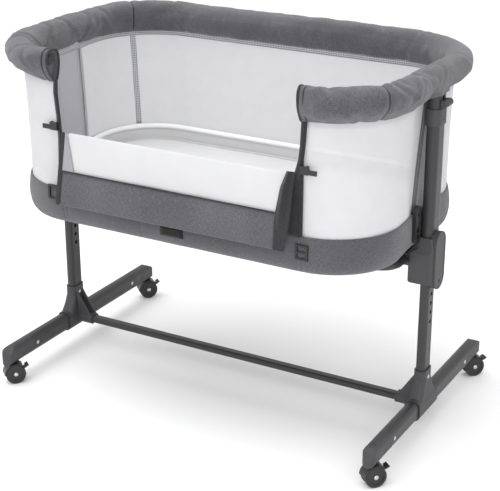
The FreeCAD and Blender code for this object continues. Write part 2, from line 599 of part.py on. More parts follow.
def end_brackets():
    """Plastic brackets on the basket's ends, in front of and behind each leg."""
    brackets = []
    for side in (-1, 1):
        for turn in (-1, 1):
            y = LEG_Y + turn * 41
            x0, x1 = sorted((side * (BAND_A + 0.2), side * (BAND_A + 7.5)))
            body = bar_x(23, 76, 11, y, BAND_TOP_Z - 20, x0, x1)
            x0, x1 = sorted((side * BAND_A, side * (BAND_A + 20)))
            body = body.cut(cylinder(3.5, V(x0, y, BAND_TOP_Z), V(x1, y, BAND_TOP_Z)))
            for z in (BAND_TOP_Z - 30, BAND_TOP_Z - 45):
                recess = sorted((side * (BAND_A + 4.5), side * (BAND_A + 9)))
                body = body.cut(box(recess[0], recess[1], y - 5, y + 5, z - 5, z + 5))
            brackets.append(body)
    return Part.makeCompound(brackets)


TAPE_W = 12.0
TAPE_THICK = 2.0
TAPE_Y = BASKET_Y - WALL_B - 3.5
TAPE_BOTTOM = BAND_TOP_Z + 4
TAPE_TOP = 698.0
tape_centres = {"left": GAP_LEFT - TAPE_W / 2 - 3, "right": GAP_RIGHT + TAPE_W / 2 + 3}


def zip_tapes():
    """The fixed half of each zip, standing on the wall beside the drop-down side."""
    tapes = []
    for x in tape_centres.values():
        tapes.append(box(x - TAPE_W / 2, x + TAPE_W / 2, TAPE_Y - TAPE_THICK, TAPE_Y, TAPE_BOTTOM, TAPE_TOP))
    return Part.makeCompound(tapes)


def strap_rings():
    """The left ring and the right buckle for the strap that ties the bassinet to a bed."""
    y1 = BASKET_Y - BAND_B - 0.3
    y0 = y1 - 4
    x, z = GAP_LEFT - 20, BAND_TOP_Z - 12
    ring = box(x - 12, x + 12, y0, y1, z - 15, z + 15).cut(box(x - 8, x + 8, y0 - 1, y1 + 1, z - 11, z + 11))
    x, z = GAP_RIGHT + 6, BAND_TOP_Z - 32
    frame = box(x - 13, x + 13, y0, y1, z - 15, z + 15)
    for low, high in ((-11, -2), (2, 11)):
        frame = frame.cut(box(x - 9, x + 9, y0 - 1, y1 + 1, z + low, z + high))
    return Part.makeCompound([ring, frame])


# ---- drop-down side and zip sliders -------------------------------------------------
FOLD_Y = BASKET_Y - WALL_B - 1.0
PANEL_DROP = 143.0       # how far the folded panel hangs below the fold
PANEL_OUT = 31.0         # how far its lower edge stands out from the fold
PANEL_THICK = 4.0
PANEL_MARGIN = 12.0         # the panel clears the rail ends even when the basket is inclined


def drop_panel():
    x0, x1 = GAP_LEFT + PANEL_MARGIN, GAP_RIGHT - PANEL_MARGIN
    top, bottom = V(x0, FOLD_Y, SIDE_TOP_Z + 3), V(x0, FOLD_Y - PANEL_OUT, SIDE_TOP_Z + 3 - PANEL_DROP)
    across = V(0, -1, 0) * PANEL_THICK
    return plate([top, bottom, bottom + across, top + across], V(1, 0, 0), x1 - x0)


SLIDER_REST_Z = 613.0
PULLER_REACH = 18.0


def zip_slider(x, out):
    """A slider that wraps the tape's edges, with a moulded loop puller to one side."""
    z = SLIDER_REST_Z
    half = TAPE_W / 2
    shell = box(x - half - 2.5, x + half + 2.5, TAPE_Y - TAPE_THICK - 3.5, TAPE_Y + 1.6, z - 8, z + 8)
    shell = shell.cut(box(x - half - 0.8, x + half + 0.8, TAPE_Y - TAPE_THICK - 0.8, TAPE_Y + 0.6, z - 9, z + 9))
    shell = shell.cut(box(x - 3, x + 3, TAPE_Y, TAPE_Y + 2, z - 9, z + 9))
    root = x + out * (half + 2)
    tip = root + out * PULLER_REACH
    y1 = TAPE_Y - TAPE_THICK - 0.5
    paddle = box(min(root, tip), max(root, tip), y1 - 3, y1, z - 7, z + 2)
    return fused([shell, paddle])


# ---- rail ---------------------------------------------------------------------------
COVER_HALF = 27.0
HEM_IN = 14.0            # the hem sits this far inside the rail's centre line


def rail_route(z, extend):
    """The open rail, from the left end of the drop side round the back to the right end."""
    a, b = RAIL_A, RAIL_B
    front, back = BASKET_Y - b, BASKET_Y + b
    corners = [V(GAP_LEFT + extend, front, z), V(-a, front, z), V(-a, back, z), V(a, back, z), V(a, front, z),
               V(GAP_RIGHT - extend, front, z)]
    return route(corners, [min(RAIL_CORNER, a - abs(GAP_LEFT) - 1 + extend)] + [RAIL_CORNER] * 2
                 + [min(RAIL_CORNER, a - GAP_RIGHT - 1 + extend)])


def rail_tube():
    return pipe(rail_route(RAIL_TUBE_Z, -4.0), RAIL_TUBE_R).removeSplitter()


def rail_cover():
    """The padded wrap: full over the tube, drawn in to a hem under it."""
    start = V(GAP_LEFT, BASKET_Y - RAIL_B, 0)
    # Points of the section as (distance out from the rail's centre line, height).
    outline = [(-HEM_IN - 5, RAIL_HEM_Z), (-HEM_IN + 4, RAIL_HEM_Z), (12, 722), (24, 735), (COVER_HALF, 747),
               (20, 762), (6, 768), (-8, 768), (-20, 762), (-COVER_HALF, 747), (-25, 725)]
    corners = [start + V(0, -out, z) for out, z in outline]
    section = Part.makePolygon(corners + corners[:1])
    cover = rail_route(0, 0).makePipeShell([section], True, False)
    cover = cover.cut(pipe(rail_route(RAIL_TUBE_Z, -4.0), RAIL_TUBE_R + 0.1))
    for side in (-1, 1):
        # Room for the leg's top, and above it for the saddle.
        x0, x1 = sorted((side * (LEG_X - UPPER_W / 2 - 4), side * (LEG_X + UPPER_W / 2 + 4)))
        cover = cover.cut(box(x0, x1, LEG_Y - 27, LEG_Y + 27, RAIL_HEM_Z - 5, UPPER_TOP + 3))
        x0, x1 = sorted((side * (RAIL_A - SADDLE_HALF - 3), side * (RAIL_A + SADDLE_HALF + 3)))
        cover = cover.cut(box(x0, x1, LEG_Y - 19, LEG_Y + 19, RAIL_HEM_Z - 5, RAIL_TUBE_Z + SADDLE_HALF + 2))
    solids = sorted(cover.Solids, key=lambda solid: solid.Volume)
    return solids[-1]


# ---- the whole object ---------------------------------------------------------------
def build():
    for_both_sides("foot_tube", foot_tube())
    for end, where in foot_ends:
        for_both_sides("foot_cap_" + where, foot_cap(end))
    for_both_sides("hub", hub())
    for_both_sides("lower_tube", lower_tube())
    nodes["crossbar"] = crossbar()
    nodes["stand_screws"] = stand_screws()

    caster = {"fork": caster_fork(), "wheels": caster_wheels(), "axle": caster_axle(),
              "brake_lever": caster_brake_lever()}
    for side, hand in ((-1, "left"), (1, "right")):
        for end, where in foot_ends:
            for piece, shape in caster.items():
                nodes["caster_" + where + "_" + hand + "_" + piece] = place_caster(shape, side, end)

    for_both_sides("upper_tube", upper_tube())
    nodes["latch_housing_right"] = latch_housing(RUNNING)
    nodes["latch_housing_left"] = latch_housing(LEFT_CLAMP_PLAY).mirror(V(0, 0, 0), V(1, 0, 0))
    for_both_sides("latch_cover", latch_cover())
    for_both_sides("collar", collar())
    for_both_sides("rail_saddle", rail_saddle())
    for_both_sides("trigger", trigger())
    for_both_sides("pull_strip", pull_strip())
    for_both_sides("latch_pin", latch_pin())

    nodes["base_tube"] = base_tube()
    nodes["basket_tub"] = basket_tub()
    nodes["base_board"] = base_board()
    nodes["mattress"] = mattress()
    nodes["side_walls"] = side_walls()
    nodes["front_wall"] = front_wall()
    nodes["end_brackets"] = end_brackets()
    nodes["zip_tapes"] = zip_tapes()
    nodes["strap_rings"] = strap_rings()
    nodes["drop_panel"] = drop_panel()
    nodes["zip_slider_left"] = zip_slider(tape_centres["left"], -1)
    nodes["zip_slider_right"] = zip_slider(tape_centres["right"], 1)
    nodes["rail_tube"] = rail_tube()
    nodes["rail_cover"] = rail_cover()


build()

bounds = FreeCAD.BoundBox()
for shape in nodes.values():
    bounds.add(shape.optimalBoundingBox(False, False))
to_origin = V(-bounds.Center.x, -bounds.Center.y, -bounds.ZMin)

os.makedirs("parts", exist_ok=True)
for name, shape in sorted(nodes.items()):
    shape.translate(to_origin)
    shape.exportStep("parts/" + name + ".step")
    print(f"{name:34s} solids {len(shape.Solids)} volume {shape.Volume / 1000:9.2f} cm3 valid {shape.isValid()}")
print("moved by", [round(value, 4) for value in to_origin], "size", round(bounds.XLength, 2),
      round(bounds.YLength, 2), round(bounds.ZLength, 2))
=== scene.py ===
# %% [markdown]
# # A bedside bassinet on a wheeled stand
# The stand, its casters and its latches come from the CAD model and stay as they are. What is
# made here is everything that is sewn: the padded rail, the mesh walls, the fabric band, the
# lining, the mattress and the side that folds down. Then every surface gets its finish.
#
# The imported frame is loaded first, because each sewn piece is laid out from its boxes.

# %% Load the frame
import math

import bmesh
import bpy
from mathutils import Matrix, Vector, noise


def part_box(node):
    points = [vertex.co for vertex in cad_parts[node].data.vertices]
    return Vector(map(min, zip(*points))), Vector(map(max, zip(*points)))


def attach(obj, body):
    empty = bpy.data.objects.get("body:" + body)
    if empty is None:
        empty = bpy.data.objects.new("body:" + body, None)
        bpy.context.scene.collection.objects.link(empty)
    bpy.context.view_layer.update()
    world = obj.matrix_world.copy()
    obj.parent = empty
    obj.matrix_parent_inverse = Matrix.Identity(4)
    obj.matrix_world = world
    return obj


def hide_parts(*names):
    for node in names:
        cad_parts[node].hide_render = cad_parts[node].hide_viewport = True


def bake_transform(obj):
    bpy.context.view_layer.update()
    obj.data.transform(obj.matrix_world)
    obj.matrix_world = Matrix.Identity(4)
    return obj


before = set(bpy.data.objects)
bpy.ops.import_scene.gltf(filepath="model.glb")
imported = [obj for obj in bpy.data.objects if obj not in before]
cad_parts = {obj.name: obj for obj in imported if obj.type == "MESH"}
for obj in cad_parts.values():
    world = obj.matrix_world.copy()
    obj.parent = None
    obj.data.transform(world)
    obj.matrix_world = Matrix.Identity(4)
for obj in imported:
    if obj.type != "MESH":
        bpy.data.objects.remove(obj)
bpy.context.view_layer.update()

# %% [markdown]
# ## Measures
# The basket is a rounded rectangle in plan, and so is the rail above it. A few lengths in
# metres describe both; the heights and the middle are read from the boxes of the CAD nodes.
# Numbers could be typed in for all of them, but boxes keep the fabric on the frame.

# %% Measures of the basket and the rail
UP = Vector((0, 0, 1))
ORIGIN = Vector((0, 0, 0))
low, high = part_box("basket_tub")
MIDDLE_Y = (low.y + high.y) / 2
BAND_A, BAND_B, BAND_CORNER = high.x, (high.y - low.y) / 2, 0.142
BAND_BOTTOM, BAND_TOP = low.z, high.z

low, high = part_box("side_walls")
WALL_A, WALL_B, WALL_CORNER = high.x, (high.y - low.y) / 2, 0.139
WALL_TOP = high.z

low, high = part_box("rail_tube")
RAIL_A, RAIL_B, RAIL_CORNER = high.x - 0.009, (high.y - low.y) / 2 - 0.009, 0.165
RAIL_Z = (low.z + high.z) / 2

GAP_LEFT, GAP_RIGHT = -0.264, 0.274
FOLD_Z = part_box("drop_panel")[1].z
print("middle", round(MIDDLE_Y, 4), "rail", round(RAIL_A, 4), round(RAIL_B, 4), round(RAIL_Z, 4))

# %% [markdown]
# ## Writing a material
# Shader nodes can be placed by hand, but a weave takes dozens of them. Here one small class
# holds the end of a wire, and arithmetic on wires adds the Math nodes. Everything else comes
# from its one `node` method.

# %% Wires and finishes
class Wire:
    """The end of a wire in a material's node tree."""

    def __init__(self, tree, socket=None):
        self.tree, self.socket = tree, socket

    def node(self, kind, settings=(), sockets=(), output=0):
        made = self.tree.nodes.new("ShaderNode" + kind)
        settings = dict(settings)
        stops = settings.pop("stops", ())
        for name, value in settings.items():
            setattr(made, name, value)
        for count, (place, shade) in enumerate(stops):
            elements = made.color_ramp.elements
            stop = elements[count] if count < 2 else elements.new(place)
            stop.position = place
            stop.color = (shade, shade, shade, 1)
        for name, value in dict(sockets).items():
            plug(self.tree, made.inputs[name], value)
        return Wire(self.tree, made.outputs[output])

    def maths(self, operation, *values):
        return self.node("Math", {"operation": operation}, dict(enumerate(values)))

    def __add__(self, other):
        return self.maths("ADD", self, other)

    def __sub__(self, other):
        return self.maths("SUBTRACT", self, other)

    def __rsub__(self, other):
        return self.maths("SUBTRACT", other, self)

    def __mul__(self, other):
        return self.maths("MULTIPLY", self, other)

    def __truediv__(self, other):
        return self.maths("DIVIDE", self, other)

    __radd__, __rmul__ = __add__, __mul__


def plug(tree, socket, value):
    if isinstance(value, Wire):
        tree.links.new(value.socket, socket)
    elif isinstance(value, tuple) and len(value) == 3 and socket.type == "RGBA":
        socket.default_value = (*value, 1)
    else:
        socket.default_value = value


class Finish:
    """A new material. Fixed values are set on its shader at once, and what varies is fed in."""

    def __init__(self, name, **fixed):
        self.material = bpy.data.materials.new(name)
        self.material.use_nodes = True
        self.tree = self.material.node_tree
        self.wire = Wire(self.tree)
        self.shader = self.tree.nodes["Principled BSDF"]
        for socket, value in fixed.items():
            plug(self.tree, self.shader.inputs[socket.replace("_", " ")], value)

    def feed(self, socket, wire):
        plug(self.tree, self.shader.inputs[socket], wire)

    def place(self, kind="Object"):
        return self.wire.node("TexCoord", output=kind)

    def stretched(self, where, scale, turn=0.0):
        return self.wire.node("Mapping", (), {"Vector": where, "Scale": scale, "Rotation": (0, 0, turn)})

    def cloud(self, where, scale, detail=2.0, rough=0.5):
        return self.wire.node("TexNoise", (), {"Vector": where, "Scale": scale, "Detail": detail,
                                               "Roughness": rough})

    def ramp(self, value, *stops):
        return self.wire.node("ValToRGB", {"stops": stops}, {"Fac": value})

    def dye(self, amount, first, second):
        mixed = self.wire.node("Mix", {"data_type": "RGBA"}, {0: amount, 6: first, 7: second}, output=2)
        return mixed

    def bump(self, height, depth, strength=1.0):
        self.feed("Normal", self.wire.node("Bump", (), {"Height": height, "Distance": depth,
                                                        "Strength": strength}))


# %% [markdown]
# ## Woven grey fabric
# The rail, the band and the folded side are covered in a grey melange: dark and light threads
# spun together. A photograph of cloth could be wrapped round, but here the threads are worked
# out: two sines cross as warp and weft, and two stretched clouds, one along each thread
# direction, dye them unevenly. The pattern follows each piece's own map, in metres.

# %% Grey fabrics
def line_mask(finish, coordinate, place, half):
    """One on a line across the map at the given place, and nothing beside it."""
    off = coordinate - place
    return finish.ramp(off.maths("ABSOLUTE", off) / half, (0.5, 1.0), (1.0, 0.0))


def grey_cloth(name, dark, light, thread=0.0011, slub=1.0, sheen=0.35, seams=(), stitches=()):
    finish = Finish(name, Sheen_Weight=sheen, Sheen_Roughness=0.45, Specular_IOR_Level=0.25)
    where = finish.place("UV")
    parts = finish.wire.node("SeparateXYZ", (), {"Vector": where})
    along = Wire(finish.tree, parts.socket.node.outputs["X"])
    across = Wire(finish.tree, parts.socket.node.outputs["Y"])
    turns = 2 * math.pi / thread
    weave = (along * turns).maths("SINE", along * turns) * (across * turns).maths("SINE", across * turns)
    warp = finish.cloud(finish.stretched(where, (160, 900, 1)), 1.0, 3.0, 0.65)
    weft = finish.cloud(finish.stretched(where, (800, 170, 1)), 1.0, 3.0, 0.65)
    faded = finish.cloud(where, 7.0, 2.0)
    melange = warp * 0.5 + weft * 0.5
    tone = finish.ramp(melange * slub + (faded - 0.5) * 0.25, (0.34, 0.0), (0.66, 1.0))
    colour = finish.dye(tone * 0.85 + weave * 0.12, dark, light)
    relief = weave * 0.5 + melange
    dashes = (along * 1200).maths("SINE", along * 1200) * 2.0 + 0.5
    # Each seam is sunk in the relief and darkened nearly to black; the darkening is painted shade in the
    # seam's valley.
    for place in seams:
        line = line_mask(finish, along, place, 0.0022)
        colour, relief = finish.dye(line * 0.8, colour, tuple(0.12 * c for c in dark)), relief - line * 3.0
    for place in stitches:
        line = line_mask(finish, across, place, 0.0011)
        colour, relief = finish.dye(line * dashes, colour, tuple(0.3 * c for c in dark)), relief - line * 2.0
    finish.feed("Base Color", colour)
    finish.feed("Roughness", 0.95 - tone * 0.15)
    finish.bump(relief, thread * 0.35, 0.8)
    return finish.material


GREY_DARK, GREY_LIGHT = (0.048, 0.048, 0.054), (0.150, 0.150, 0.163)
SEAM_STATIONS, HEM_STITCH = (0.8125, 2.008), -0.0395
fabric_grey = grey_cloth("grey_melange", GREY_DARK, GREY_LIGHT)
fabric_rail = grey_cloth("grey_melange_seams_painted_shade", GREY_DARK, GREY_LIGHT, seams=SEAM_STATIONS,
                         stitches=(HEM_STITCH,))
fabric_binding = grey_cloth("dark_binding", (0.016, 0.016, 0.018), (0.046, 0.046, 0.05), thread=0.0016,
                            sheen=0.2)
fabric_webbing = grey_cloth("black_webbing", (0.008, 0.008, 0.009), (0.026, 0.026, 0.028), thread=0.0022,
                            sheen=0.15)
print("grey fabrics", fabric_grey.name, fabric_binding.name, fabric_webbing.name)

# %% [markdown]
# ## White fabrics
# The walls are a knitted mesh: white thread round small holes. Thousands of holes could be cut,
# but at this size they only soften what is seen through them, so the alpha does it. The product
# of two cosines gives holes in staggered rows. The lining is a close knit with faint ribs.

# %% White fabrics
def mesh_cloth(name, pitch=0.0019, shade=(0.66, 0.66, 0.68), dots=None, thread_alpha=0.97, hole_alpha=0.72):
    finish = Finish(name, Sheen_Weight=0.2, Roughness=0.75, Specular_IOR_Level=0.3)
    where = finish.place("UV")
    parts = finish.wire.node("SeparateXYZ", (), {"Vector": where})
    along = Wire(finish.tree, parts.socket.node.outputs["X"])
    across = Wire(finish.tree, parts.socket.node.outputs["Y"])
    turns = math.pi / pitch
    rows = (along * turns).maths("COSINE", along * turns) * (across * turns).maths("COSINE", across * turns)
    hole = finish.ramp(rows.maths("ABSOLUTE", rows), (0.25, 0.0), (0.6, 1.0))
    finish.feed("Alpha", thread_alpha - hole * (thread_alpha - hole_alpha))
    uneven = finish.cloud(where, 30.0, 3.0)
    colour = finish.dye(uneven, tuple(0.9 * c for c in shade), shade)
    finish.feed("Base Color", finish.dye(hole, colour, dots or colour))
    finish.bump(1.0 - hole, 0.0004, 0.7)
    return finish.material


def smooth_cloth(name, dark, light, rib=0.0012, depth=0.00015, soft=0.0):
    finish = Finish(name, Sheen_Weight=0.3, Sheen_Roughness=0.4, Specular_IOR_Level=0.3,
                    Subsurface_Weight=soft, Subsurface_Radius=(0.004, 0.004, 0.004))
    where = finish.place("UV")
    parts = finish.wire.node("SeparateXYZ", (), {"Vector": where})
    along = Wire(finish.tree, parts.socket.node.outputs["X"])
    across = Wire(finish.tree, parts.socket.node.outputs["Y"])
    ribs = (along + across * 0.02).maths("SINE", (along + across * 0.02) * (2 * math.pi / rib))
    uneven = finish.cloud(where, 14.0, 4.0, 0.6)
    fuzz = finish.cloud(where, 900.0, 2.0)
    finish.feed("Base Color", finish.dye(uneven * 0.7 + fuzz * 0.3, dark, light))
    finish.feed("Roughness", 0.7 + fuzz * 0.2)
    finish.bump(ribs * 0.4 + fuzz + uneven * 4.0, depth, 0.8)
    return finish.material


mesh_white = mesh_cloth("white_mesh_cloth")
seam_tape = mesh_cloth("dotted_seam_tape", 0.0040, (0.23, 0.23, 0.25), (0.62, 0.62, 0.64), 0.99, 0.97)
mesh_double = mesh_cloth("double_mesh_cloth", 0.0030, (0.50, 0.50, 0.52), (0.40, 0.40, 0.42), 0.99, 0.95)
lining_white = smooth_cloth("white_lining", (0.52, 0.52, 0.54), (0.60, 0.60, 0.61))
lining_side = smooth_cloth("grey_side_lining", (0.26, 0.26, 0.28), (0.32, 0.32, 0.34))
# The inside of the basket gets a lighter copy of the white lining: painted light, brighter than the cloth
# itself to offset the shade that falls between the band and the mattress.
lining_painted_bright = smooth_cloth("inner_lining_painted_bright", (0.80, 0.80, 0.81), (0.88, 0.88, 0.88))
mattress_white = smooth_cloth("mattress_cover_cloth", (0.58, 0.58, 0.59), (0.68, 0.68, 0.68), rib=0.0018)
floor_black = smooth_cloth("base_cloth", (0.018, 0.018, 0.02), (0.04, 0.04, 0.043))
print("white fabrics", mesh_white.name, lining_white.name, mattress_white.name)


# %% [markdown]
# ## Paint, plastic, rubber and steel
# The stand is powder coated, so its surface has a fine orange peel and a few rubbed patches.
# Moulded plastic has a spark-eroded grain. The wheels have scuffed patches, and screws
# and axles are bright steel with turning marks. All read object coordinates, because the CAD
# nodes carry no map of their own.

# %% Hard finishes
def hard_finish(name, dark, light, rough, grain, grain_depth, patch=18.0, wear=0.12, **fixed):
    finish = Finish(name, **fixed)
    where = finish.place()
    peel = finish.cloud(where, grain, 2.0)
    patches = finish.cloud(where, patch, 4.0, 0.65)
    rubbed = finish.ramp(finish.cloud(where, patch * 2.6, 5.0, 0.7), (0.58, 0.0), (0.7, 1.0))
    finish.feed("Base Color", finish.dye(patches * 0.7 + rubbed * 0.3, dark, light))
    finish.feed("Roughness", rough + (patches - 0.5) * 0.16 - rubbed * wear)
    finish.bump(peel, grain_depth, 0.6)
    return finish.material


def steel_finish(name, shade, rough):
    finish = Finish(name, Metallic=1.0)
    where = finish.place()
    marks = finish.cloud(finish.stretched(where, (300, 300, 5000)), 1.0, 2.0)
    smudges = finish.cloud(where, 60.0, 3.0)
    finish.feed("Base Color", finish.dye(smudges, tuple(0.82 * c for c in shade), shade))
    finish.feed("Roughness", rough + marks * 0.12 + smudges * 0.08)
    finish.bump(marks, 0.00003, 0.5)
    return finish.material


paint = hard_finish("charcoal_powder_coat", (0.026, 0.026, 0.028), (0.036, 0.036, 0.039), 0.42, 1500.0,
                    0.00006,
                    Specular_IOR_Level=0.45)
plastic = hard_finish("charcoal_plastic", (0.037, 0.037, 0.040), (0.052, 0.052, 0.056), 0.55, 2600.0, 0.00008)
black_plastic = hard_finish("black_plastic_moulding", (0.010, 0.010, 0.011), (0.02, 0.02, 0.021), 0.45,
                            2600.0,
                            0.00006)
caster_plastic = hard_finish("caster_nylon", (0.011, 0.011, 0.012), (0.022, 0.022, 0.023), 0.4, 2000.0,
                             0.00005)
tyre = hard_finish("wheel_rubber", (0.014, 0.014, 0.015), (0.032, 0.031, 0.03), 0.6, 1200.0, 0.00015,
                   patch=60.0)
slider_metal = hard_finish("zip_slider_enamel", (0.012, 0.012, 0.013), (0.022, 0.022, 0.023), 0.32, 1800.0,
                           0.00004)
board = hard_finish("base_board_ply", (0.20, 0.16, 0.11), (0.30, 0.24, 0.17), 0.6, 300.0, 0.0002)
steel = steel_finish("bright_steel", (0.62, 0.62, 0.63), 0.22)

finishes = {"frame_paint": paint, "frame_plastic": plastic, "black_plastic": black_plastic,
            "caster_plastic": caster_plastic, "caster_wheel": tyre, "steel": steel, "board": board,
            "zip_slider": slider_metal, "zip_tape": fabric_binding, "grey_fabric": fabric_grey,
            "white_mesh": mesh_white, "mattress_cover": mattress_white}
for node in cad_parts.values():
    for held in node.material_slots:
        base = held.material.name.split(".")[0] if held.material else ""
        if base in finishes:
            held.material = finishes[base]
print("finishes put on", len(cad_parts), "CAD nodes")

# %% [markdown]
# ## Sewing helpers
# Every long piece of this bassinet is a strip of one section carried round a rounded
# rectangle. Lofting between many outlines would do it, but a spin is shorter: a line of edges
# is spun round each corner and slid along each side, and it leaves the fabric behind it.
# `station` says how far along the loop a point lies, which is the cloth's own map.

# %% Carry a section round the basket
RUN_PITCH = 0.010
TURN_STEPS = 20


def route_round(a, b, corners, start_x, end_x, pitch=RUN_PITCH, turn_steps=TURN_STEPS):
    """Clockwise legs from the front, by the left end, the back and the right end, to the front."""
    signs = [(-1, -1), (-1, 1), (1, 1), (1, -1)]
    here = Vector((start_x, MIDDLE_Y - b, 0))
    legs = []
    for (sx, sy), corner in zip(signs, corners):
        centre = Vector((sx * (a - corner), MIDDLE_Y + sy * (b - corner), 0))
        entry = centre + (Vector((0, sy * corner, 0)) if sx == sy else Vector((sx * corner, 0, 0)))
        legs.append((entry - here, 0.0, ORIGIN))
        leave = centre + (Vector((sx * corner, 0, 0)) if sx == sy else Vector((0, sy * corner, 0)))
        legs.append((Vector(), -math.pi / 2, centre))
        here = leave
    legs.append((Vector((end_x, MIDDLE_Y - b, 0)) - here, 0.0, ORIGIN))
    steps = [turn_steps if turn else max(1, round(shift.length / pitch)) for shift, turn, _ in legs]
    return list(zip(steps, legs))


def carry(bm, line, route):
    """Spins and slides a line of edges along the route; gives back the line where it ends."""
    for steps, (shift, turn, centre) in route:
        if turn == 0.0 and shift.length < 1e-6:
            continue
        made = bmesh.ops.spin(bm, geom=line, cent=centre, axis=UP, dvec=shift / steps, angle=turn,
                              steps=steps)
        line = made["geom_last"]
    return line


def section(bm, points, start_x, b, closed=False):
    """The section's corners, as (distance out from the line, height), on the front at start_x."""
    corners = [bm.verts.new((start_x, MIDDLE_Y - b - out, z)) for out, z in points]
    pairs = list(zip(corners, corners[1:])) + ([(corners[-1], corners[0])] if closed else [])
    return corners + [bm.edges.new(pair) for pair in pairs]


def station(co, a=BAND_A, b=BAND_B, corner=BAND_CORNER):
    """Distance round the loop from the middle of the front, clockwise, and distance outside it."""
    hx, hy = a - corner, b - corner
    x, y = co.x, co.y - MIDDLE_Y
    core = Vector((max(-hx, min(hx, x)), max(-hy, min(hy, y))))
    away = Vector((x, y)) - core
    turn = math.atan2(-away.x, -away.y) % (2 * math.pi)
    side = int((turn + math.pi / 4) // (math.pi / 2)) % 4
    run = [-core.x, hx + hy + core.y, 2 * hy + 2 * hx + core.x, 3 * hx + 3 * hy - core.y][side]
    if side == 0 and turn > math.pi:
        run = 4 * hx + 4 * hy - core.x
    return run + corner * turn, away.length - corner


def length_round(a=BAND_A, b=BAND_B, corner=BAND_CORNER):
    return 4 * (a - corner) + 4 * (b - corner) + 2 * math.pi * corner


# %% [markdown]
# A finished mesh gets its doubles merged and its normals turned outwards before its wall gets
# any thickness. Then the map is written: each face's corners in metres of cloth. The modifiers
# are applied last, in `sew`, so that what rides on the frame is the final mesh.

# %% Finish a piece
def map_cloth(bm, place, whole=None):
    """Writes the map from place(point), and mends the faces where the loop closes on itself."""
    layer = bm.loops.layers.uv.verify()
    for face in bm.faces:
        spots = [place(corner.vert.co) for corner in face.loops]
        furthest = max(u for u, _ in spots)
        for corner, (u, v) in zip(face.loops, spots):
            if whole and furthest - u > whole / 2:
                u += whole
            corner[layer].uv = (u, v)


def round_map(co):
    return station(co)[0], co.z


def flat_map(co):
    return co.x, co.z - co.y


def sew(bm, name, material, place=None, outward=None, thickness=0.0, offset=-1.0, levels=0, whole=None):
    """Turns a bmesh into a finished object."""
    bmesh.ops.remove_doubles(bm, verts=bm.verts, dist=1e-5)
    bmesh.ops.recalc_face_normals(bm, faces=bm.faces)
    if outward:
        wrong = sum(face.normal.dot(outward(face.calc_center_median())) for face in bm.faces) < 0
        if wrong:
            bmesh.ops.reverse_faces(bm, faces=bm.faces)
    map_cloth(bm, place or round_map, whole)
    mesh = bpy.data.meshes.new(name)
    bm.to_mesh(mesh)
    bm.free()
    piece = bpy.data.objects.new(name, mesh)
    bpy.context.collection.objects.link(piece)
    mesh.materials.append(material)
    mesh.shade_smooth()
    if thickness:
        wall = piece.modifiers.new("wall", "SOLIDIFY")
        wall.thickness, wall.offset = thickness, offset
    if levels:
        soft = piece.modifiers.new("soft", "SUBSURF")
        soft.levels = soft.render_levels = levels
    settle(piece)
    return piece


def settle(piece):
    """Applies a piece's modifiers by keeping the mesh that they make."""
    if piece.modifiers:
        graph = bpy.context.evaluated_depsgraph_get()
        made = bpy.data.meshes.new_from_object(piece.evaluated_get(graph))
        piece.modifiers.clear()
        piece.data = made
        piece.data.shade_smooth()


def from_middle(co):
    return Vector((co.x, co.y - MIDDLE_Y, 0))


def wrinkle(co, scale, seed, stretch=(1, 1, 1)):
    return noise.noise(Vector((co.x * stretch[0], co.y * stretch[1],
                               co.z * stretch[2])) * scale + Vector((seed, 0, 0)))


# %% [markdown]
# ## The padded rail
# A fabric sleeve is wrapped round the rail tube over a layer of wadding and drawn in to a hem
# below. It could be a plain swept tube, but padding shows in the fullness between the seams and
# in the small folds near the corners. So the swept sleeve is cloth with a little slack, and it
# is blown up gently while its hem, its seams and its ends are held.

# %% Sweep the sleeve and blow it up
RAIL_SECTION = [(-0.0120, 0.7030), (-0.0050, 0.7028), (0.0035, 0.7095), (0.0115, 0.7170), (0.0190, 0.7250),
                (0.0250, 0.7345), (0.0277, 0.7450), (0.0264, 0.7560), (0.0202, 0.7640), (0.0105, 0.7682),
                (0.0, 0.7690), (-0.0105, 0.7682), (-0.0202, 0.7640), (-0.0264, 0.7560), (-0.0277, 0.7450),
                (-0.0268, 0.7340), (-0.0235, 0.7230), (-0.0185, 0.7125)]
RAIL_CORNERS = (0.160, 0.165, 0.165, 0.150)


def rail_map(co):
    along, out = station(co, RAIL_A, RAIL_B, RAIL_CORNER)
    return along, math.atan2(co.z - RAIL_Z, out) * 0.028


bm = bmesh.new()
start = section(bm, RAIL_SECTION, GAP_LEFT, RAIL_B, closed=True)
route = route_round(RAIL_A, RAIL_B, RAIL_CORNERS, GAP_LEFT, GAP_RIGHT, pitch=0.008, turn_steps=30)
end = carry(bm, start, route)
for rim in (start, end):
    rim_edges = [e for e in rim if isinstance(e, bmesh.types.BMEdge)]
    mouth = bmesh.ops.contextual_create(bm, geom=rim_edges)["faces"]
    for thickness, depth in ((0.0045, 0.0), (0.002, -0.010), (0.004, -0.002)):
        bmesh.ops.inset_region(bm, faces=mouth, thickness=thickness, depth=depth)
for face in bm.faces:
    spot = face.calc_center_median()
    face.material_index = int(spot.y < MIDDLE_Y and GAP_LEFT - 0.001 < spot.x < GAP_RIGHT + 0.001)
rail_wrap = sew(bm, "rail_wrap", fabric_rail, rail_map, from_middle)
rail_wrap.data.materials.append(fabric_binding)
print("sleeve", len(rail_wrap.data.vertices), "points")


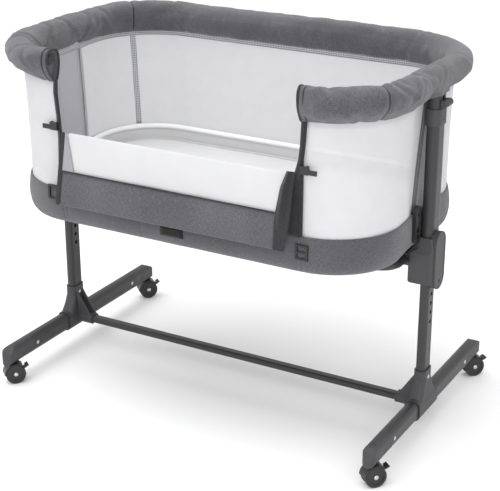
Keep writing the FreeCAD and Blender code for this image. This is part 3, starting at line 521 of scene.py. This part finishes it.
def blow_up(piece, held, pressure, slack, cap, frames=20):
    """Inflates a closed piece as cloth, holds some of its points, and limits how far any moves."""
    rest = [v.co.copy() for v in piece.data.vertices]
    grip = piece.vertex_groups.new(name="grip")
    for index, point in enumerate(rest):
        weight = held(point)
        if weight > 0:
            grip.add([index], weight, "REPLACE")
    cloth = piece.modifiers.new("cloth", "CLOTH")
    made = cloth.settings
    made.quality, made.mass = 5, 0.15
    made.tension_stiffness = made.compression_stiffness = 12
    made.shear_stiffness, made.bending_stiffness = 6, 0.4
    made.use_pressure, made.uniform_pressure_force = True, pressure
    made.shrink_min = -slack
    made.vertex_group_mass = "grip"
    made.effector_weights.gravity = 0
    cloth.point_cache.frame_start, cloth.point_cache.frame_end = 1, frames
    for frame_number in range(1, frames + 1):
        bpy.context.scene.frame_set(frame_number)
    graph = bpy.context.evaluated_depsgraph_get()
    blown = piece.evaluated_get(graph).to_mesh()
    moved = [v.co.copy() for v in blown.vertices]
    piece.evaluated_get(graph).to_mesh_clear()
    piece.modifiers.clear()
    piece.vertex_groups.clear()
    furthest = 0.0
    for vertex, before, after in zip(piece.data.vertices, rest, moved):
        step = after - before
        furthest = max(furthest, step.length)
        if step.length > cap:
            step *= cap / step.length
        vertex.co = before + step
    bpy.context.scene.frame_set(1)
    print(piece.name, "moved by up to", round(furthest * 1000, 1), "mm, capped at", cap * 1000)


HEM_TOP, END_REACH, SEAM_REACH, SEAM_GRIP = 0.712, 0.004, 0.006, 0.8
PUFF_CAP = 0.004


def rail_grip(co):
    along, _ = station(co, RAIL_A, RAIL_B, RAIL_CORNER)
    elsewhere = 0 if co.y < MIDDLE_Y - 0.1 else 1
    if co.z < HEM_TOP or min(abs(co.x - x) + elsewhere for x in (GAP_LEFT, GAP_RIGHT)) < END_REACH:
        return 1.0
    return SEAM_GRIP if min(abs(along - s) for s in SEAM_STATIONS) < SEAM_REACH else 0.0


blow_up(rail_wrap, rail_grip, pressure=2.5, slack=0.035, cap=PUFF_CAP)

# %% [markdown]
# Over each leg the sleeve is drawn in and hangs down as a pocket that hides the leg's top. The
# lower outer part of the section is pulled down there, and the side above it is pinched.

# %% Pocket over each leg
LEG_Y = (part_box("upper_tube_left")[0].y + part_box("upper_tube_left")[1].y) / 2
LEG_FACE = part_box("upper_tube_right")[1].x - RAIL_A


def near_leg(co, flat, fade):
    reach = abs(co.y - LEG_Y)
    share = max(0.0, min(1.0, (flat + fade - reach) / fade)) if abs(co.x) > RAIL_A - 0.04 else 0.0
    return share * share * (3 - 2 * share)


for vertex in rail_wrap.data.vertices:
    along, out = station(vertex.co, RAIL_A, RAIL_B, RAIL_CORNER)
    side = math.copysign(1, vertex.co.x)
    if out > 0:
        vertex.co.x -= side * out * 0.22 * near_leg(vertex.co, 0.045, 0.09)
    hang = near_leg(vertex.co, 0.024, 0.014)
    if out > 0.010 and vertex.co.z < 0.740 and hang:
        vertex.co.z -= hang * max(0.0, min(0.012, vertex.co.z - 0.7175))
        vertex.co.x += side * hang * max(0.0, LEG_FACE + 0.003 - abs(abs(vertex.co.x) - RAIL_A))
print("legs at y", round(LEG_Y, 4))

# %% [markdown]
# With no leg inside, the two ends of the sleeve go flat. The same squeeze is used for the
# sleeve and for its bindings.

# %% Flat ends
FLAT_ENDS = ((GAP_LEFT, -1, 0.30), (GAP_RIGHT, 1, 0.52))


def squeeze_ends(piece):
    for vertex in piece.data.vertices:
        if vertex.co.y > MIDDLE_Y:
            continue
        for end_x, inward, by in FLAT_ENDS:
            share = max(0.0, 1 - abs(vertex.co.x - end_x) / 0.055)
            out = MIDDLE_Y - RAIL_B - vertex.co.y
            vertex.co.y += (out + 0.006) * by * share * share * (3 - 2 * share)


squeeze_ends(rail_wrap)
print("ends squeezed by", [by for _, _, by in FLAT_ENDS])

# %% [markdown]
# The seams are sewn in after the air: a short valley across the sleeve at each seam, and soft
# diagonal folds next to the two front corners, where the sleeve turns tightest.

# %% Seams and folds on the sleeve
FOLDS = ((0.40, 0.035, 0.0030), (0.455, -0.028, 0.0026), (0.52, 0.030, 0.0026), (0.36, -0.022, 0.0022),
         (0.31, 0.018, 0.0020), (0.60, -0.024, 0.0018), (0.66, 0.020, 0.0020), (0.735, -0.026, 0.0018),
         (2.085, 0.026, 0.0022), (1.965, 0.030, 0.0026), (1.93, -0.022, 0.0024), (1.885, 0.028, 0.0026),
         (1.835, -0.020, 0.0020), (1.70, 0.024, 0.0018), (1.50, 0.014, 0.0012), (0.92, -0.018, 0.0014))


def sink(piece, depth_at, outward):
    for vertex in piece.data.vertices:
        depth = depth_at(vertex.co)
        if depth:
            vertex.co -= outward(vertex.co) * depth


def rail_out(co):
    along, out = station(co, RAIL_A, RAIL_B, RAIL_CORNER)
    level = math.atan2(co.z - RAIL_Z, out)
    flat = from_middle(co).normalized()
    return flat * math.cos(level) + UP * math.sin(level)


def rail_relief(co):
    along, out = station(co, RAIL_A, RAIL_B, RAIL_CORNER)
    depth = sum(0.0024 * math.exp(-((along - s) / 0.0045) ** 2) for s in SEAM_STATIONS)
    level = (co.z - RAIL_Z) / 0.03
    for place, lean, deep in FOLDS:
        offset = (along - place - lean * level) / 0.0055
        depth += deep * (math.exp(-offset * offset) - 0.45 * math.exp(-((offset - 1.8) / 1.2) ** 2))
    return depth + 0.0014 * wrinkle(co, 28, 3.0) + 0.0006 * wrinkle(co, 90, 8.0)


soft = rail_wrap.modifiers.new("soft", "SUBSURF")
soft.levels = soft.render_levels = 1
settle(rail_wrap)
sink(rail_wrap, rail_relief, rail_out)
rail_wrap.data.shade_smooth()
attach(rail_wrap, "rail")
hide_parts("rail_cover")
print("rail wrap", len(rail_wrap.data.polygons), "faces")

# %% [markdown]
# ## Bindings at the rail's ends
# Each end of the sleeve is an open mouth, bound with dark tape, with a second turn of tape just
# behind it. One could paint them on, but a bound edge stands proud, so each is the sleeve's own
# section, offset a little and carried a few millimetres.

# %% End bindings
def grown(points, by):
    middle_out = sum(out for out, _ in points) / len(points)
    middle_z = sum(z for _, z in points) / len(points)
    made = []
    for out, z in points:
        away = Vector((out - middle_out, z - middle_z))
        away = away * (1 + by / away.length)
        made.append((middle_out + away.x, middle_z + away.y))
    return made


def end_binding(name, x, width, grow, material=fabric_binding):
    bm = bmesh.new()
    line = section(bm, grown(RAIL_SECTION, grow), x - width / 2, RAIL_B, closed=True)
    carry(bm, line, [(2, (Vector((width, 0, 0)), 0.0, ORIGIN))])
    piece = sew(bm, name, material, rail_map, None, thickness=0.0012, offset=0.0, levels=1)
    squeeze_ends(piece)
    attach(piece, "rail")
    return piece


for label, x, inward in (("left", GAP_LEFT, -1), ("right", GAP_RIGHT, 1)):
    end_binding("rail_binding_" + label, x + inward * 0.0015, 0.006, 0.0014)
    end_binding("rail_zip_edge_" + label, x + inward * 0.0125, 0.0035, 0.0008)
print("bindings at both ends of the rail")

# %% [markdown]
# ## Mesh walls
# One length of mesh runs from one side of the opening, round both ends and the back, to the
# other side. Its lower edge is sewn to the band and its upper edge to the rail's hem, which is a
# little wider, so it leans out. It crosses from the basket to the rail, which rocks a little when
# the basket is inclined.

# %% Sew the mesh walls
WALL_ROWS = 14
WALL_SPLAY = 0.0038


def wall_out(z):
    """How far the mesh stands outside the basket's outline at a height."""
    share = (z - BAND_TOP) / (WALL_TOP - BAND_TOP)
    return WALL_SPLAY * share - 0.001 - 0.0012 * math.sin(math.pi * max(0.0, min(1.0, share)))


def wall_points(inset=0.0, bottom=BAND_TOP - 0.010, top=WALL_TOP + 0.008, rows=WALL_ROWS):
    heights = [bottom + (top - bottom) * row / rows for row in range(rows + 1)]
    return [(wall_out(z) - inset, z) for z in heights]


def ripple(piece, size, scale, seed, outward=from_middle, stretch=(1, 1, 0.5)):
    for vertex in piece.data.vertices:
        vertex.co += outward(vertex.co).normalized() * size * wrinkle(vertex.co, scale, seed, stretch)


WALL_CORNERS = (WALL_CORNER,) * 4
bm = bmesh.new()
line = section(bm, wall_points(), GAP_LEFT, WALL_B)
carry(bm, line, route_round(WALL_A, WALL_B, WALL_CORNERS, GAP_LEFT, GAP_RIGHT, pitch=0.014))
mesh_wall = sew(bm, "mesh_wall", mesh_white, round_map, from_middle, whole=length_round())
ripple(mesh_wall, 0.0008, 9, 5.0)


def keep_clear(piece):
    """Draws a piece of the wall in behind the legs and under the zips, where metal moves past it."""
    for vertex in piece.data.vertices:
        if abs(vertex.co.x) > 0.36:
            vertex.co.x -= math.copysign(0.0040, vertex.co.x) * near_leg(vertex.co, 0.030, 0.050)
        elif vertex.co.y < MIDDLE_Y:
            nearest = min(abs(vertex.co.x - edge) for edge in (GAP_LEFT, GAP_RIGHT))
            vertex.co.y += 0.0032 * max(0.0, 1 - nearest / 0.035)


keep_clear(mesh_wall)
wall_length = length_round(WALL_A, WALL_B, WALL_CORNER) - (GAP_RIGHT - GAP_LEFT)
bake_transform(mesh_wall)
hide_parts("side_walls")

# %% [markdown]
# Below the opening the mesh goes on as a low wall, up to the fold of the drop-down side.

# %% Low front wall
def front_points(inset, bottom, top, rows):
    return [(-inset, bottom + (top - bottom) * row / rows) for row in range(rows + 1)]


bm = bmesh.new()
line = section(bm, front_points(0.0014, BAND_TOP - 0.010, FOLD_Z - 0.006, 8), GAP_LEFT + 0.001, WALL_B)
carry(bm, line, [(44, (Vector((GAP_RIGHT - GAP_LEFT - 0.002, 0, 0)), 0.0, ORIGIN))])
low_wall = sew(bm, "low_front_wall", lining_white, round_map, from_middle, thickness=0.0012)
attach(low_wall, "base")
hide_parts("front_wall")
print("low front wall up to", round(FOLD_Z, 3))

# %% [markdown]
# ## Tapes on the walls
# Zip tapes, seam tapes and the bindings beside the legs are all ribbons that lie on the mesh.
# `on_loop` turns a station, a height and an offset into a point, so a ribbon is a short table
# of heights with its two edges as stations. A decal would be flat, but a ribbon has an edge.

# %% Ribbons
WALL_ROUND = length_round(WALL_A, WALL_B, WALL_CORNER)


def on_loop(s, out, z, a=WALL_A, b=WALL_B, corner=WALL_CORNER):
    """The point at a station, a distance outside the loop, and a height."""
    hx, hy, quarter = a - corner, b - corner, corner * math.pi / 2
    legs = ((hx, (0, -hy), (-1, 0)), (2 * hy, (-hx, -hy), (0, 1)), (2 * hx, (-hx, hy), (1, 0)),
            (2 * hy, (hx, hy), (0, -1)), (hx, (hx, -hy), (-1, 0)))
    for number, (length, start, heading) in enumerate(legs):
        step, turn = min(s, length), math.pi / 2 * number
        core = Vector(start) + Vector(heading) * step
        s -= step
        if s <= 0 or number == 4:
            break
        turn += min(s, quarter) / corner
        if s <= quarter:
            break
        s -= quarter
    away = Vector((-math.sin(turn), -math.cos(turn))) * (corner + out)
    return Vector((core.x + away.x, MIDDLE_Y + core.y + away.y, z))


def ribbon(name, material, table, out, thickness=0.001, across=4, down=30, bulge=0.0, levels=0):
    """A tape on the wall: the table's rows are (height, first edge, second edge)."""
    bm = bmesh.new()
    bmesh.ops.create_grid(bm, x_segments=across, y_segments=down, size=0.5)
    layer = bm.loops.layers.uv.verify()
    for face in bm.faces:
        for corner in face.loops:
            corner[layer].uv = corner.vert.co.xy
    for vertex in bm.verts:
        side, row = vertex.co.x + 0.5, (0.5 - vertex.co.y) * (len(table) - 1)
        number = min(int(row), len(table) - 2)
        above, below, mix = table[number], table[number + 1], row - number
        mix = mix * mix * (3 - 2 * mix) if len(table) > 3 else mix
        z, first, second = (p + (q - p) * mix for p, q in zip(above, below))
        proud = out + bulge * math.sin(math.pi * side)
        vertex.co = on_loop(first + (second - first) * side, wall_out(z) + proud, z)
    outward = from_middle if out > 0 else (lambda co: -from_middle(co))
    piece = sew(bm, name, material, round_map, outward, thickness=thickness, levels=levels)
    return piece


def cut_of(rows):
    """The flat width and length that a ribbon was cut to."""
    width = sum(second - first for _, first, second in rows) / len(rows)
    return max(0.01, width), rows[0][0] - rows[-1][0]


def round_back(rows):
    """The same rows mirrored to the right half."""
    return [(z, WALL_ROUND - second, WALL_ROUND - first) for z, first, second in rows]


ZIP_LEFT = [(0.706, 0.2590, 0.2690), (0.680, 0.2610, 0.2715), (0.636, 0.2585, 0.2685),
            (0.596, 0.2570, 0.2670),
            (0.540, 0.2590, 0.2700), (0.484, 0.2620, 0.2725)]
# On the right the tape widens below the fold into a near-black strip on the low wall behind the hanging side.
# The narrow top is the real zip tape; the widened lower part is a grey strip of the wall painted near black
# as the shade in the gap behind the side.
ZIP_RIGHT_WITH_PAINTED_SHADE = [(0.706, WALL_ROUND - 0.2870, WALL_ROUND - 0.2755),
             (0.659, WALL_ROUND - 0.2835, WALL_ROUND - 0.2725),
             (0.630, WALL_ROUND - 0.2800, WALL_ROUND - 0.2690),
             (0.596, WALL_ROUND - 0.2795, WALL_ROUND - 0.2590),
             (0.540, WALL_ROUND - 0.2790, WALL_ROUND - 0.2420),
             (0.480, WALL_ROUND - 0.2785, WALL_ROUND - 0.2360)]
for label, rows in (("left", ZIP_LEFT), ("right", ZIP_RIGHT_WITH_PAINTED_SHADE)):
    tape = ribbon("zip_tape_" + label, fabric_binding, rows, 0.0024, 0.0014, bulge=0.0006)
    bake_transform(tape)
    cut_of(rows)
    edge = [(q - 0.0055 if label == "left" else p + 0.0055) for z, p, q in rows]
    middle = [(row[0], place - 0.0011, place + 0.0011) for row, place in zip(rows, edge)]
    teeth = ribbon("zip_teeth_" + label, black_plastic, middle, 0.0040, 0.0010, across=2, down=110,
                   bulge=0.0004)
    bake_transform(teeth)
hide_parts("zip_tapes")

# %% [markdown]
# The bindings stand on the outside of the end walls, leaning towards the legs. The dotted seam
# tapes are on the inside, at the back corners and behind the legs, and one more runs right
# under the rail.

# %% Bindings and seam tapes
def end_station(y):
    """The station on the left end at a distance behind the middle."""
    return station(Vector((-WALL_A, MIDDLE_Y + y, 0)), WALL_A, WALL_B, WALL_CORNER)[0]


FRONT_BINDING = [(0.704, end_station(-0.012), end_station(0.006)),
                 (0.484, end_station(-0.046), end_station(-0.023))]
BACK_BINDING = [(0.704, end_station(0.024), end_station(0.037)),
                (0.484, end_station(0.034), end_station(0.048))]
SEAM_LEG = [(0.700, end_station(0.029), end_station(0.037)), (0.487, end_station(0.037), end_station(0.046))]
SEAM_CORNER = [(0.700, 0.7900, 0.8020), (0.487, 0.7980, 0.8100)]
DOUBLE_LAYER = [(0.700, end_station(-0.060), end_station(0.030)),
                (0.487, end_station(-0.060), end_station(0.038))]
for label, mirror in (("left", list), ("right", round_back)):
    for kind, rows, out, cloth in (("binding_front", FRONT_BINDING, 0.0009, fabric_grey),
                                   ("binding_back", BACK_BINDING, 0.0009, fabric_grey),
                                   ("double_layer", DOUBLE_LAYER, -0.0012, mesh_double),
                                   ("seam_leg", SEAM_LEG, -0.0026, seam_tape),
                                   ("seam_corner", SEAM_CORNER, -0.0014, seam_tape)):
        tape = ribbon(kind + "_" + label, cloth, mirror(rows), out, 0.0007)
        keep_clear(tape)
        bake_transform(tape)
        cut_of(rows)

bm = bmesh.new()
line = section(bm, [(wall_out(z) - 0.0016, z) for z in (0.693, 0.699, 0.705)], GAP_LEFT - 0.012, WALL_B)
carry(bm, line, route_round(WALL_A, WALL_B, WALL_CORNERS, GAP_LEFT - 0.012, GAP_RIGHT + 0.012))
rail_tape = sew(bm, "tape_under_rail", seam_tape, round_map, lambda co: -from_middle(co), thickness=0.0008,
                whole=length_round())
keep_clear(rail_tape)
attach(rail_tape, "rail")

# %% [markdown]
# ## The band and the basket's floor
# A strip of grey fabric goes all round the base and turns under its edge. It is fuller at the
# bottom than at the top, and it has a double seam on both sides of the opening. It could be
# inflated too, but it is stretched over a board, so a swept section with faint ripples is
# closer to the real thing.

# %% Sew the band
BAND_SECTION = [(-0.040, 0.4142), (-0.024, 0.4138), (-0.0140, 0.4142), (-0.0065, 0.4172), (-0.0022, 0.4230),
                (-0.0006, 0.4320), (-0.0004, 0.4440), (-0.0009, 0.4560), (-0.0015, 0.4680), (-0.0020, 0.4790),
                (-0.0024, 0.4850), (-0.0040, 0.4862), (-0.0052, 0.4850)]
BAND_CORNERS = (BAND_CORNER,) * 4
BAND_SEAMS = (-0.2560, -0.2480, 0.2680, 0.2790, -0.0745)

bm = bmesh.new()
line = section(bm, BAND_SECTION, 0.0, BAND_B)
carry(bm, line, route_round(BAND_A, BAND_B, BAND_CORNERS, 0.0, 0.0))
for x in BAND_SEAMS:
    for shift in (-0.002, 0.0, 0.002):
        near = [f for f in bm.faces if f.calc_center_median().y < MIDDLE_Y - BAND_B + 0.05]
        parts = {e for f in near for e in f.edges} | {v for f in near for v in f.verts} | set(near)
        bmesh.ops.bisect_plane(bm, geom=list(parts), dist=1e-5, plane_co=(x + shift, 0, 0),
                               plane_no=(1, 0, 0))
for vertex in bm.verts:
    if vertex.co.y < MIDDLE_Y - BAND_B + 0.05:
        depth = sum(0.0011 * math.exp(-((vertex.co.x - x) / 0.0013) ** 2) for x in BAND_SEAMS)
        vertex.co.y += depth
basket_band = sew(bm, "basket_band", fabric_grey, round_map, from_middle, thickness=0.002, offset=-1.0,
                  whole=length_round())
ripple(basket_band, 0.0012, 14, 11.0, stretch=(1, 1, 0.6))
for vertex in basket_band.data.vertices:
    share = max(0.0, min(1.0, (BAND_TOP - vertex.co.z) / (BAND_TOP - BAND_BOTTOM)))
    clear = max(0.0, min(1.0, (abs(vertex.co.y - LEG_Y) - 0.045) / 0.06)) if abs(vertex.co.x) > 0.36 else 1.0
    belly = math.sin(math.pi * min(1.0, 0.12 + share)) if share < 0.88 else 0.0
    vertex.co += from_middle(vertex.co).normalized() * 0.0045 * clear * belly
    vertex.co.z -= clear * (0.0035 + 0.0035 * share)
band_tab = ribbon("band_tab", fabric_webbing, [(0.449, -0.024, 0.028), (0.430, -0.024, 0.028)], 0.0098,
                  0.0014,
                  across=6, down=4)
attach(band_tab, "base")
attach(basket_band, "base")
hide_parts("basket_tub")
print("band", round(length_round(), 3), "m round")

# %% [markdown]
# The floor under the board is a plain dark cloth, cut to the basket's outline. It is the same
# rounded outline filled in and pulled flat.

# %% Floor cloth
bm = bmesh.new()
line = section(bm, [(-0.0375, 0.4150)], 0.0, BAND_B)
carry(bm, line, route_round(BAND_A, BAND_B, BAND_CORNERS, 0.0, 0.0))
bmesh.ops.remove_doubles(bm, verts=bm.verts, dist=1e-5)
bmesh.ops.contextual_create(bm, geom=list(bm.edges))
bmesh.ops.inset_region(bm, faces=list(bm.faces), thickness=0.03, depth=0.0)
basket_floor = sew(bm, "basket_floor", floor_black, lambda co: (co.x, co.y), None, thickness=0.0012,
                   offset=0.0)
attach(basket_floor, "base")

# %% [markdown]
# ## Lining and its piping
# Inside, a smooth white lining stands up from the mattress to the top of the band, where it is
# rolled over a soft cord. The roll's section is a small circle carried round the same loop.

# %% Lining
LINING_TOP = BAND_TOP - 0.004
LINING_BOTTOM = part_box("mattress")[0].z + 0.006
bm = bmesh.new()
line = section(bm, [(-0.0068, LINING_BOTTOM), (-0.0066, 0.440), (-0.0064, 0.456), (-0.0072, 0.468),
                    (-0.0078, LINING_TOP)],
               0.0, BAND_B)
carry(bm, line, route_round(BAND_A, BAND_B, BAND_CORNERS, 0.0, 0.0))
# The inside lining uses the lighter copy of the white lining: painted light against the shade inside the
# basket.
inner_lining = sew(bm, "inner_lining", lining_painted_bright, round_map, from_middle, thickness=0.001, offset=1.0,
                   whole=length_round())
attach(inner_lining, "base")


def piping(name, a, b, corners, out, z, radius, material, start_x=0.0, end_x=0.0):
    """A round cord in a fold of cloth, carried round the loop."""
    bm = bmesh.new()
    around = [(out + radius * math.cos(t), z + radius * math.sin(t))
              for t in (2 * math.pi * k / 8 for k in range(8))]
    line = section(bm, around, start_x, b, closed=True)
    last = carry(bm, line, route_round(a, b, corners, start_x, end_x, pitch=0.02))
    if start_x != end_x:
        for rim in (line, last):
            bmesh.ops.contextual_create(bm, geom=[e for e in rim if isinstance(e, bmesh.types.BMEdge)])
    return sew(bm, name, material, round_map, None, whole=length_round())


# The roll uses the same lighter copy, so its colour also carries painted light.
lining_piping = piping("lining_roll", BAND_A, BAND_B, BAND_CORNERS, -0.0125, LINING_TOP, 0.0062, lining_painted_bright)
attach(lining_piping, "base")
print("lining up to", round(LINING_TOP, 3))

# %% [markdown]
# ## Mattress
# The mattress is a foam slab in a thin cover, flat below, crowned above, with a piped edge. Its
# section is carried round the outline and filled in, then crowned and smoothed by subdivision.

# %% Mattress pad
low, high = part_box("mattress")
MATTRESS_A, MATTRESS_B, MATTRESS_CORNER = high.x - 0.001, (high.y - low.y) / 2 - 0.001, 0.124
thick = high.z - low.z
bm = bmesh.new()
line = section(bm, [(-0.003, low.z + 0.0006), (0.0, low.z + 0.008), (0.0, high.z - 0.010),
                    (-0.004, high.z - 0.004),
                    (-0.012, high.z - 0.001)], 0.0, MATTRESS_B)
carry(bm, line,
      route_round(MATTRESS_A, MATTRESS_B, (MATTRESS_CORNER,) * 4, 0.0, 0.0, pitch=0.02, turn_steps=12))
bmesh.ops.remove_doubles(bm, verts=bm.verts, dist=1e-5)
bmesh.ops.contextual_create(bm, geom=[e for e in bm.edges
                                      if e.is_boundary and e.verts[0].co.z < low.z + 0.004])
bmesh.ops.contextual_create(bm, geom=[e for e in bm.edges if e.is_boundary])
top = [f for f in bm.faces if f.calc_center_median().z > high.z - 0.0015 and len(f.verts) > 8]
for depth in (0.02, 0.03, 0.04, 0.04, 0.03):
    bmesh.ops.inset_region(bm, faces=top, thickness=depth, depth=0.0)
mattress_pad = sew(bm, "mattress_pad", mattress_white, lambda co: (co.x, co.y + co.z), None)


def mattress_crown(co):
    edge = min(1.0, max(0.0, -station(co, MATTRESS_A, MATTRESS_B, MATTRESS_CORNER)[1]) / 0.08)
    return 0.003 * edge + 0.0015 * wrinkle(co, 12, 21.0) if co.z > high.z - 0.003 else 0.0


for vertex in mattress_pad.data.vertices:
    vertex.co.z += mattress_crown(vertex.co)
soft = mattress_pad.modifiers.new("soft", "SUBSURF")
soft.levels = soft.render_levels = 2
settle(mattress_pad)
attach(mattress_pad, "base")
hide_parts("mattress")
mattress_piping = piping("mattress_piping", MATTRESS_A, MATTRESS_B, (MATTRESS_CORNER,) * 4, -0.002,
                         high.z - 0.003,
                         0.0016, mattress_white)
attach(mattress_piping, "base")
print("mattress", round(2 * MATTRESS_A, 3), "x", round(2 * MATTRESS_B, 3), "x", round(thick, 3))

# %% [markdown]
# ## The side that folds down
# The drop-down side hangs outside the basket from a fold. Its upper part shows the white
# lining, and its lower part is the grey band that closes over the rail when the side is up.
# Each part is a grid laid on the panel's slope, pushed about a little so that it hangs like
# cloth, and then given the cloth's thickness.

# %% Panel
low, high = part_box("drop_panel")
PANEL_LEFT, PANEL_RIGHT = low.x, high.x
PANEL_TOP = Vector((0, high.y - 0.001, high.z))
PANEL_FOOT = Vector((0, low.y + 0.003, low.z))
PANEL_DOWN = PANEL_FOOT - PANEL_TOP
PANEL_OUT = Vector((0, -PANEL_DOWN.z, PANEL_DOWN.y)).normalized() * -1
LINING_SHARE = 0.53


def on_panel(x, share, out=0.0):
    return Vector((x, 0, 0)) + PANEL_TOP + PANEL_DOWN * share + PANEL_OUT * out


def panel_cloth(name, material, left, right, top_share, foot_share, out, thickness, sag, columns=48, rows=8,
                seed=1.0):
    bm = bmesh.new()
    bmesh.ops.create_grid(bm, x_segments=columns, y_segments=rows, size=0.5)
    for vertex in bm.verts:
        across, down = vertex.co.x + 0.5, 0.5 - vertex.co.y
        x = left + (right - left) * across
        share = top_share + (foot_share - top_share) * down
        belly = sag * math.sin(math.pi * down) * math.sin(math.pi * across) ** 0.5
        spot = on_panel(x, share)
        vertex.co = on_panel(x, share, out + belly + 0.0016 * wrinkle(spot, 16, seed, (1, 1, 0.7)))
    return sew(bm, name, material, flat_map, lambda co: PANEL_OUT, thickness=thickness, offset=-1.0, levels=1)


EDGE = 0.010
panel_lining = panel_cloth("panel_lining", lining_white, PANEL_LEFT + EDGE, PANEL_RIGHT - EDGE, 0.0,
                           LINING_SHARE,
                           0.0005, 0.0018, 0.003, seed=31.0)
panel_band = panel_cloth("panel_band", fabric_grey, PANEL_LEFT + 0.002, PANEL_RIGHT - 0.004, LINING_SHARE,
                         1.0,
                         0.0022, 0.003, 0.0035, seed=37.0)
for piece, kind, share in ((panel_lining, "white_mesh", LINING_SHARE),
                           (panel_band, "grey_fabric", 1 - LINING_SHARE)):
    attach(piece, "drop_panel")
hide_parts("drop_panel")


def panel_strip(name, material, rows, out, thickness, fold=0.0, across=6, down=24, width=0.02):
    """A strip down the panel: the rows are (share of the drop, left edge, right edge)."""
    bm = bmesh.new()
    bmesh.ops.create_grid(bm, x_segments=across, y_segments=down, size=0.5)
    for vertex in bm.verts:
        side, row = vertex.co.x + 0.5, (0.5 - vertex.co.y) * (len(rows) - 1)
        number = min(int(row), len(rows) - 2)
        share, left, right = (p + (q - p) * (row - number) for p, q in zip(rows[number], rows[number + 1]))
        proud = fold * math.exp(-((side - 0.38) / 0.16) ** 2) * math.sin(math.pi * min(1.0, share + 0.25))
        vertex.co = on_panel(left + (right - left) * side, share, out + proud)
    piece = sew(bm, name, material, flat_map, lambda co: PANEL_OUT, thickness=thickness, levels=1)
    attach(piece, "drop_panel")
    length = PANEL_DOWN.length * (rows[-1][0] - rows[0][0])
    length > 0.05
    return piece


LEFT, RIGHT = PANEL_LEFT, PANEL_RIGHT
strips = (("panel_gusset_left", lining_side,
           [(0.0, LEFT + 0.002, LEFT + 0.008), (0.25, LEFT + 0.001, LEFT + 0.022),
                                              (LINING_SHARE, LEFT, LEFT + 0.034)], 0.0042, 0.001, 0.0, 0.024),
          ("panel_zip_left", fabric_binding,
           [(0.0, LEFT - 0.004, LEFT + 0.006), (1.0, LEFT - 0.004, LEFT + 0.006)],
           0.0052, 0.0014, 0.0, 0.010),
          ("panel_zip_right", fabric_binding,
           [(-0.02, RIGHT - 0.014, RIGHT + 0.003), (0.2, RIGHT - 0.024, RIGHT + 0.003),
                                               (0.6, RIGHT - 0.030, RIGHT + 0.003),
            (1.0, RIGHT - 0.026, RIGHT - 0.001)],
           0.0060, 0.0016, 0.007, 0.027),
          ("panel_piping", fabric_binding, [(LINING_SHARE - 0.012, LEFT, RIGHT - 0.02),
                                            (LINING_SHARE + 0.012, LEFT, RIGHT - 0.02)], 0.0056, 0.0018, 0.0,
           0.52))
for name, cloth, rows, out, thickness, fold, width in strips:
    piece = panel_strip(name, cloth, rows, out, thickness, fold, 40 if width > 0.1 else 6,
                        24 if width < 0.1 else 2,
                        width)
print("panel", round(PANEL_RIGHT - PANEL_LEFT, 3), "x", round(PANEL_DOWN.length, 3))

# %% [markdown]
# ## Floor, light and camera
# A plain pale floor, one broad soft light from above and in front, and a white room.

# %% Studio
def studio():
    bm = bmesh.new()
    bmesh.ops.create_grid(bm, x_segments=1, y_segments=1, size=8.0)
    mesh = bpy.data.meshes.new("studio_floor")
    bm.to_mesh(mesh)
    bm.free()
    floor = bpy.data.objects.new("studio_floor", mesh)
    bpy.context.collection.objects.link(floor)
    finish = Finish("studio_floor_paint", Roughness=0.9, Specular_IOR_Level=0.1)
    faint = finish.cloud(finish.place(), 3.0)
    finish.feed("Base Color", finish.dye(faint, (0.96, 0.96, 0.96), (0.97, 0.97, 0.97)))
    mesh.materials.append(finish.material)
    room = bpy.data.worlds.new("white_room")
    bpy.context.scene.world = room
    room.use_nodes = True
    backdrop = room.node_tree.nodes["Background"]
    backdrop.inputs["Color"].default_value = (1, 1, 1, 1)
    backdrop.inputs["Strength"].default_value = 0.96
    for name, spot, size, power in (("overhead", (-0.6, -0.6, 3.2), 3.0, 70),
                                    ("front", (1.6, -2.8, 1.9), 2.0, 28)):
        light = bpy.data.objects.new(name, bpy.data.lights.new(name, "AREA"))
        light.data.size, light.data.energy = size, power
        light.location = spot
        light.rotation_euler = (Vector((0, 0, 0.4)) - Vector(spot)).to_track_quat("-Z", "Y").to_euler()
        bpy.context.collection.objects.link(light)


studio()
bpy.context.scene.view_settings.view_transform = "Standard"

azimuth, elevation = math.radians(29.39), math.radians(21.96)
back = Vector((math.sin(azimuth) * math.cos(elevation), -math.cos(azimuth) * math.cos(elevation),
               math.sin(elevation)))
camera = bpy.data.objects.new("camera", bpy.data.cameras.new("camera"))
bpy.context.collection.objects.link(camera)
camera.location = (1.3225, -2.3112, 1.3914)
camera.rotation_euler = (-back).to_track_quat("-Z", "Y").to_euler()
camera.data.lens = 97.18
bpy.context.scene.camera = camera
